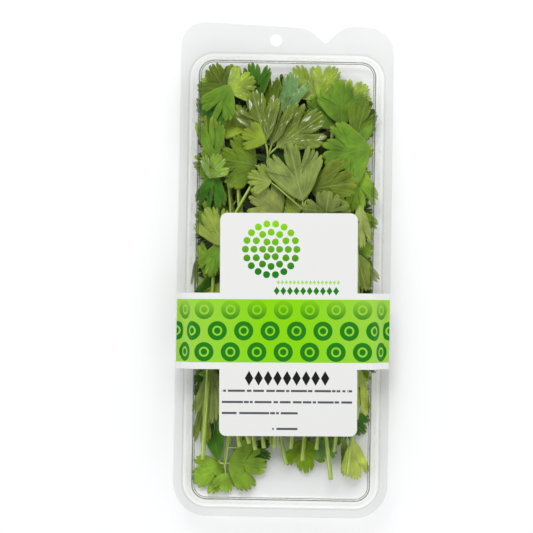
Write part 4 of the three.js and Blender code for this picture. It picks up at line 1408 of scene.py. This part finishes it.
# Label: coated paper, a little off-white and softly glossy, printed in two greens, black and
# grey, and bare on its underside. The print's measures are in millimetres.
ink = {
    "paper": "#e6e6e4",
    "fibre": "#e3e3e1",
    "margin": "#e6e7e5",
    "under": "#f3f3f0",
    "lime": "#86d200",
    "highlitLime": "#9ace42",
    # The paler lime is a painted highlight on the band's ends.
    "softLime": "#a6d86a",
    "leafGreen": "#1a7a10",
    "black": "#161616",
    "grey": "#55565a",
    "roughness": 0.5,
    "gloss": 0.2,
}
panel = {"x": 2.6, "halfWidth": 34.4, "edge": 0.6, "y": -27.7, "roll": 0.7}
# The band's painted highlight turns its lime paler between these distances from the middle.
band = {"top": -15.2, "bottom": -46.8, "fadeFrom": -27.0, "fadeTo": 0.1, "endHighlight": (12.0, 50.0)}
medallion = {
    "x": -6.3,
    "y": 9.8,
    "pitch": 4.3,
    "rings": 3,
    "firstDots": 6,  # and as many more on each ring after it
    "dot": 1.75,
    "darkAt": -10.0,
    "limeAt": 13.0,
}
motifs = {"pitch": 13.2, "row": 10.53, "core": 1.6, "gap": 2.5, "radius": 4.8}
overWall = {"foot": 13.4, "top": 22.3, "longer": 5.3}
lozengeRows = [
    {"from": -2.6, "count": 16, "y": -6.7, "pitch": 2.0, "half": (0.85, 1.2), "colour": "softLime"},
    {"from": -3.4, "count": 10, "y": -11.0, "pitch": 3.3, "half": (1.5, 2.1), "colour": "leafGreen"},
    {"from": -17.0, "count": 9, "y": -54.6, "pitch": 4.75, "half": (2.1, 3.7), "colour": "black"},
]
dashRows = [
    {"from": -30.5, "to": 34.5, "y": -60.9},
    {"from": -30.5, "to": 34.5, "y": -66.5},
    {"from": -30.5, "to": 8.0, "y": -72.0},
    {"from": -5.3, "to": 7.3, "y": -79.8},
]
dashes = {"half": 0.55, "breaks": 0.42, "inkFrom": 0.43}

labelPaper, tree = newMaterial("coated paper, offset printed")
place = addNode(tree, "TexCoord")
inMm = addNode(tree, "VectorMath", {0: place.outputs["Object"], "Scale": 1000.0}, operation="SCALE")
# The label is stuck on a little askew, and its print turns with it.
roll = math.radians(panel["roll"])
shift = (
    panel["x"] * (1 - math.cos(roll)) - panel["y"] * math.sin(roll),
    panel["y"] * (1 - math.cos(roll)) + panel["x"] * math.sin(roll),
    0,
)
onLabel = addNode(tree, "Mapping", {"Vector": inMm, "Rotation": (0, 0, -roll), "Location": shift})
axes = addNode(tree, "SeparateXYZ", {0: onLabel})
across, along = axes.outputs[0], axes.outputs[1]


# Lays an ink over what is printed already, as strongly as its share says. Each limit is a
# measure with the lowest and highest value at which the ink shows.
def printed(under, over, limits, share=1.0):
    for measure, low, high in limits:
        inputs = {0: measure, 1: (low + high) / 2, 2: (high - low) / 2}
        within = addNode(tree, "Math", inputs, operation="COMPARE")
        share = addNode(tree, "Math", {0: within, 1: share}, operation="MULTIPLY")
    over = linear(ink[over]) if isinstance(over, str) else over
    mixed = addNode(tree, "Mix", {"Factor": share, 6: under, 7: over}, data_type="RGBA")
    return mixed.outputs[2]


# How far a measure is from the middle of its cell, in cells a pitch apart.
def offCell(measure, origin, pitch):
    inputs = {0: measure, 1: 1 / pitch, 2: 0.5 - origin / pitch}
    cell = addNode(tree, "Math", inputs, operation="MULTIPLY_ADD")
    share = addNode(tree, "Math", {0: cell}, operation="FRACT")
    off = addNode(tree, "Math", {0: share, 1: 0.5}, operation="SUBTRACT")
    return addNode(tree, "Math", {0: off, 1: pitch}, operation="MULTIPLY")


def distance(aside, upwards):
    pair = addNode(tree, "CombineXYZ", {0: aside, 1: upwards})
    return addNode(tree, "VectorMath", {0: pair}, operation="LENGTH").outputs["Value"]


# Paper fibres, 0.6 mm apart, and a slightly lighter margin beside the panel.
fibres = addNode(tree, "TexNoise", {"Vector": inMm, "Scale": 1.6, "Detail": 4.0})
fibrous = {"Factor": fibres, 6: linear(ink["paper"]), 7: linear(ink["fibre"])}
paper = addNode(tree, "Mix", fibrous, data_type="RGBA").outputs[2]
reach = panel["halfWidth"] - panel["edge"]
onPanel = [(across, panel["x"] - reach, panel["x"] + reach)]
colour = printed(linear(ink["margin"]), paper, onPanel)

# The band, with a painted highlight that makes it paler towards both ends, and rows of rings that fade
# out upwards.
edgeways = addNode(tree, "Math", {0: across}, operation="ABSOLUTE")
highlightFrom, highlightTo = band["endHighlight"]
endHighlight = addNode(tree, "MapRange", {"Value": edgeways, "From Min": highlightFrom, "From Max": highlightTo})
banded = printed(linear(ink["lime"]), "highlitLime", [], endHighlight)
rowInputs = {0: along, 1: 1 / motifs["row"], 2: -band["bottom"] / motifs["row"]}
row = addNode(tree, "Math", rowInputs, operation="MULTIPLY_ADD")
rowNumber = addNode(tree, "Math", {0: row}, operation="FLOOR")
# The print follows the paper where it bends down over the lid's walls, and is longer there.
longer = addNode(
    tree,
    "MapRange",
    {
        "Value": axes.outputs[2],
        "From Min": overWall["foot"],
        "From Max": overWall["top"],
        "To Min": overWall["longer"],
        "To Max": 0.0,
    },
)
outward = addNode(tree, "Math", {0: across}, operation="SIGN")
unfolded = addNode(tree, "Math", {0: longer, 1: outward, 2: across}, operation="MULTIPLY_ADD")
halfStep = {0: rowNumber, 1: motifs["pitch"] / 2, 2: unfolded}
staggered = addNode(tree, "Math", halfStep, operation="MULTIPLY_ADD")
motifOff = distance(
    offCell(staggered, 0, motifs["pitch"]),
    offCell(along, band["bottom"] + motifs["row"] / 2, motifs["row"]),
)
fading = addNode(
    tree,
    "MapRange",
    {
        "Value": along,
        "From Min": band["fadeFrom"],
        "From Max": band["top"],
        "To Min": 1.0,
        "To Max": band["fadeTo"],
    },
)
for low, high in ((0, motifs["core"]), (motifs["gap"], motifs["radius"])):
    banded = printed(banded, "leafGreen", [(motifOff, low, high)], fading)
colour = printed(colour, banded, [(along, band["bottom"], band["top"])])

# A medallion: dots on rings round one middle, lime at the top and dark below.
middle = (medallion["x"], medallion["y"], 0)
fromMiddle = addNode(tree, "VectorMath", {0: onLabel, 1: middle}, operation="SUBTRACT")
parts = addNode(tree, "SeparateXYZ", {0: fromMiddle})
radius = distance(parts.outputs[0], parts.outputs[1])
angle = addNode(tree, "Math", {0: parts.outputs[1], 1: parts.outputs[0]}, operation="ARCTAN2")
ringInputs = {0: radius, 1: 1 / medallion["pitch"], 2: 0.5}
ringPlace = addNode(tree, "Math", ringInputs, operation="MULTIPLY_ADD")
ringNumber = addNode(tree, "Math", {0: ringPlace}, operation="FLOOR")
crowded = {0: ringNumber, 1: medallion["firstDots"] / (2 * math.pi)}  # dots in a radian
dotsThere = addNode(tree, "Math", crowded, operation="MULTIPLY")
dotPlace = addNode(tree, "Math", {0: angle, 1: dotsThere}, operation="MULTIPLY")
dotShare = addNode(tree, "Math", {0: dotPlace, 1: 0.5, 2: -0.5}, operation="WRAP")
dotTurn = addNode(tree, "Math", {0: dotShare, 1: dotsThere}, operation="DIVIDE")
dotAside = addNode(tree, "Math", {0: dotTurn, 1: radius}, operation="MULTIPLY")
ringInputs = {0: ringNumber, 1: -medallion["pitch"], 2: radius}
ringOff = addNode(tree, "Math", ringInputs, operation="MULTIPLY_ADD")
dotFade = addNode(
    tree,
    "MapRange",
    {"Value": parts.outputs[1], "From Min": medallion["darkAt"], "From Max": medallion["limeAt"]},
)
dotInk = printed(linear(ink["leafGreen"]), "lime", [], dotFade)
edge = (medallion["rings"] + 0.5) * medallion["pitch"]
onDot = [(distance(dotAside, ringOff), 0, medallion["dot"]), (radius, 0, edge)]
colour = printed(colour, dotInk, onDot)

for line in lozengeRows:
    halfWide, halfTall = line["half"]
    off = offCell(across, line["from"], line["pitch"])
    aside = addNode(tree, "Math", {0: off}, operation="ABSOLUTE")
    above = addNode(tree, "Math", {0: along, 1: line["y"]}, operation="SUBTRACT")
    upwards = addNode(tree, "Math", {0: above}, operation="ABSOLUTE")
    wide = addNode(tree, "Math", {0: aside, 1: 1 / halfWide}, operation="MULTIPLY")
    whole = addNode(tree, "Math", {0: upwards, 1: 1 / halfTall, 2: wide}, operation="MULTIPLY_ADD")
    left = line["from"] - line["pitch"] / 2
    right = left + line["count"] * line["pitch"]
    colour = printed(colour, line["colour"], [(whole, -1, 1), (across, left, right)])

# Rules broken into uneven dashes.
for line in dashRows:
    stretched = {"Location": (line["y"], 0, 0), "Scale": (dashes["breaks"], 0, 0)}
    breaks = addNode(tree, "Mapping", {"Vector": onLabel} | stretched)
    dash = addNode(tree, "TexNoise", {"Vector": breaks, "Scale": 1.0, "Detail": 1.0})
    onLine = (along, line["y"] - dashes["half"], line["y"] + dashes["half"])
    onDash = (dash, dashes["inkFrom"], 1)
    colour = printed(colour, "grey", [onLine, (across, line["from"], line["to"]), onDash])

# Only the faces that look up are printed.
upper = addNode(tree, "SeparateXYZ", {0: place.outputs["Normal"]})
colour = printed(linear(ink["under"]), colour, [(upper.outputs[2], 0.25, 1.1)])
fibreBump = addNode(tree, "Bump", {"Strength": 0.15, "Distance": 0.0001, "Height": fibres})
printedPaper = addNode(
    tree,
    "BsdfPrincipled",
    {
        "Base Color": colour,
        "Roughness": ink["roughness"],
        "Specular IOR Level": ink["gloss"],
        "Normal": fibreBump,
    },
)
addNode(tree, "OutputMaterial", {"Surface": printedPaper})
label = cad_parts["label"]
label.data.materials.clear()
label.data.materials.append(labelPaper)
print("label printed")
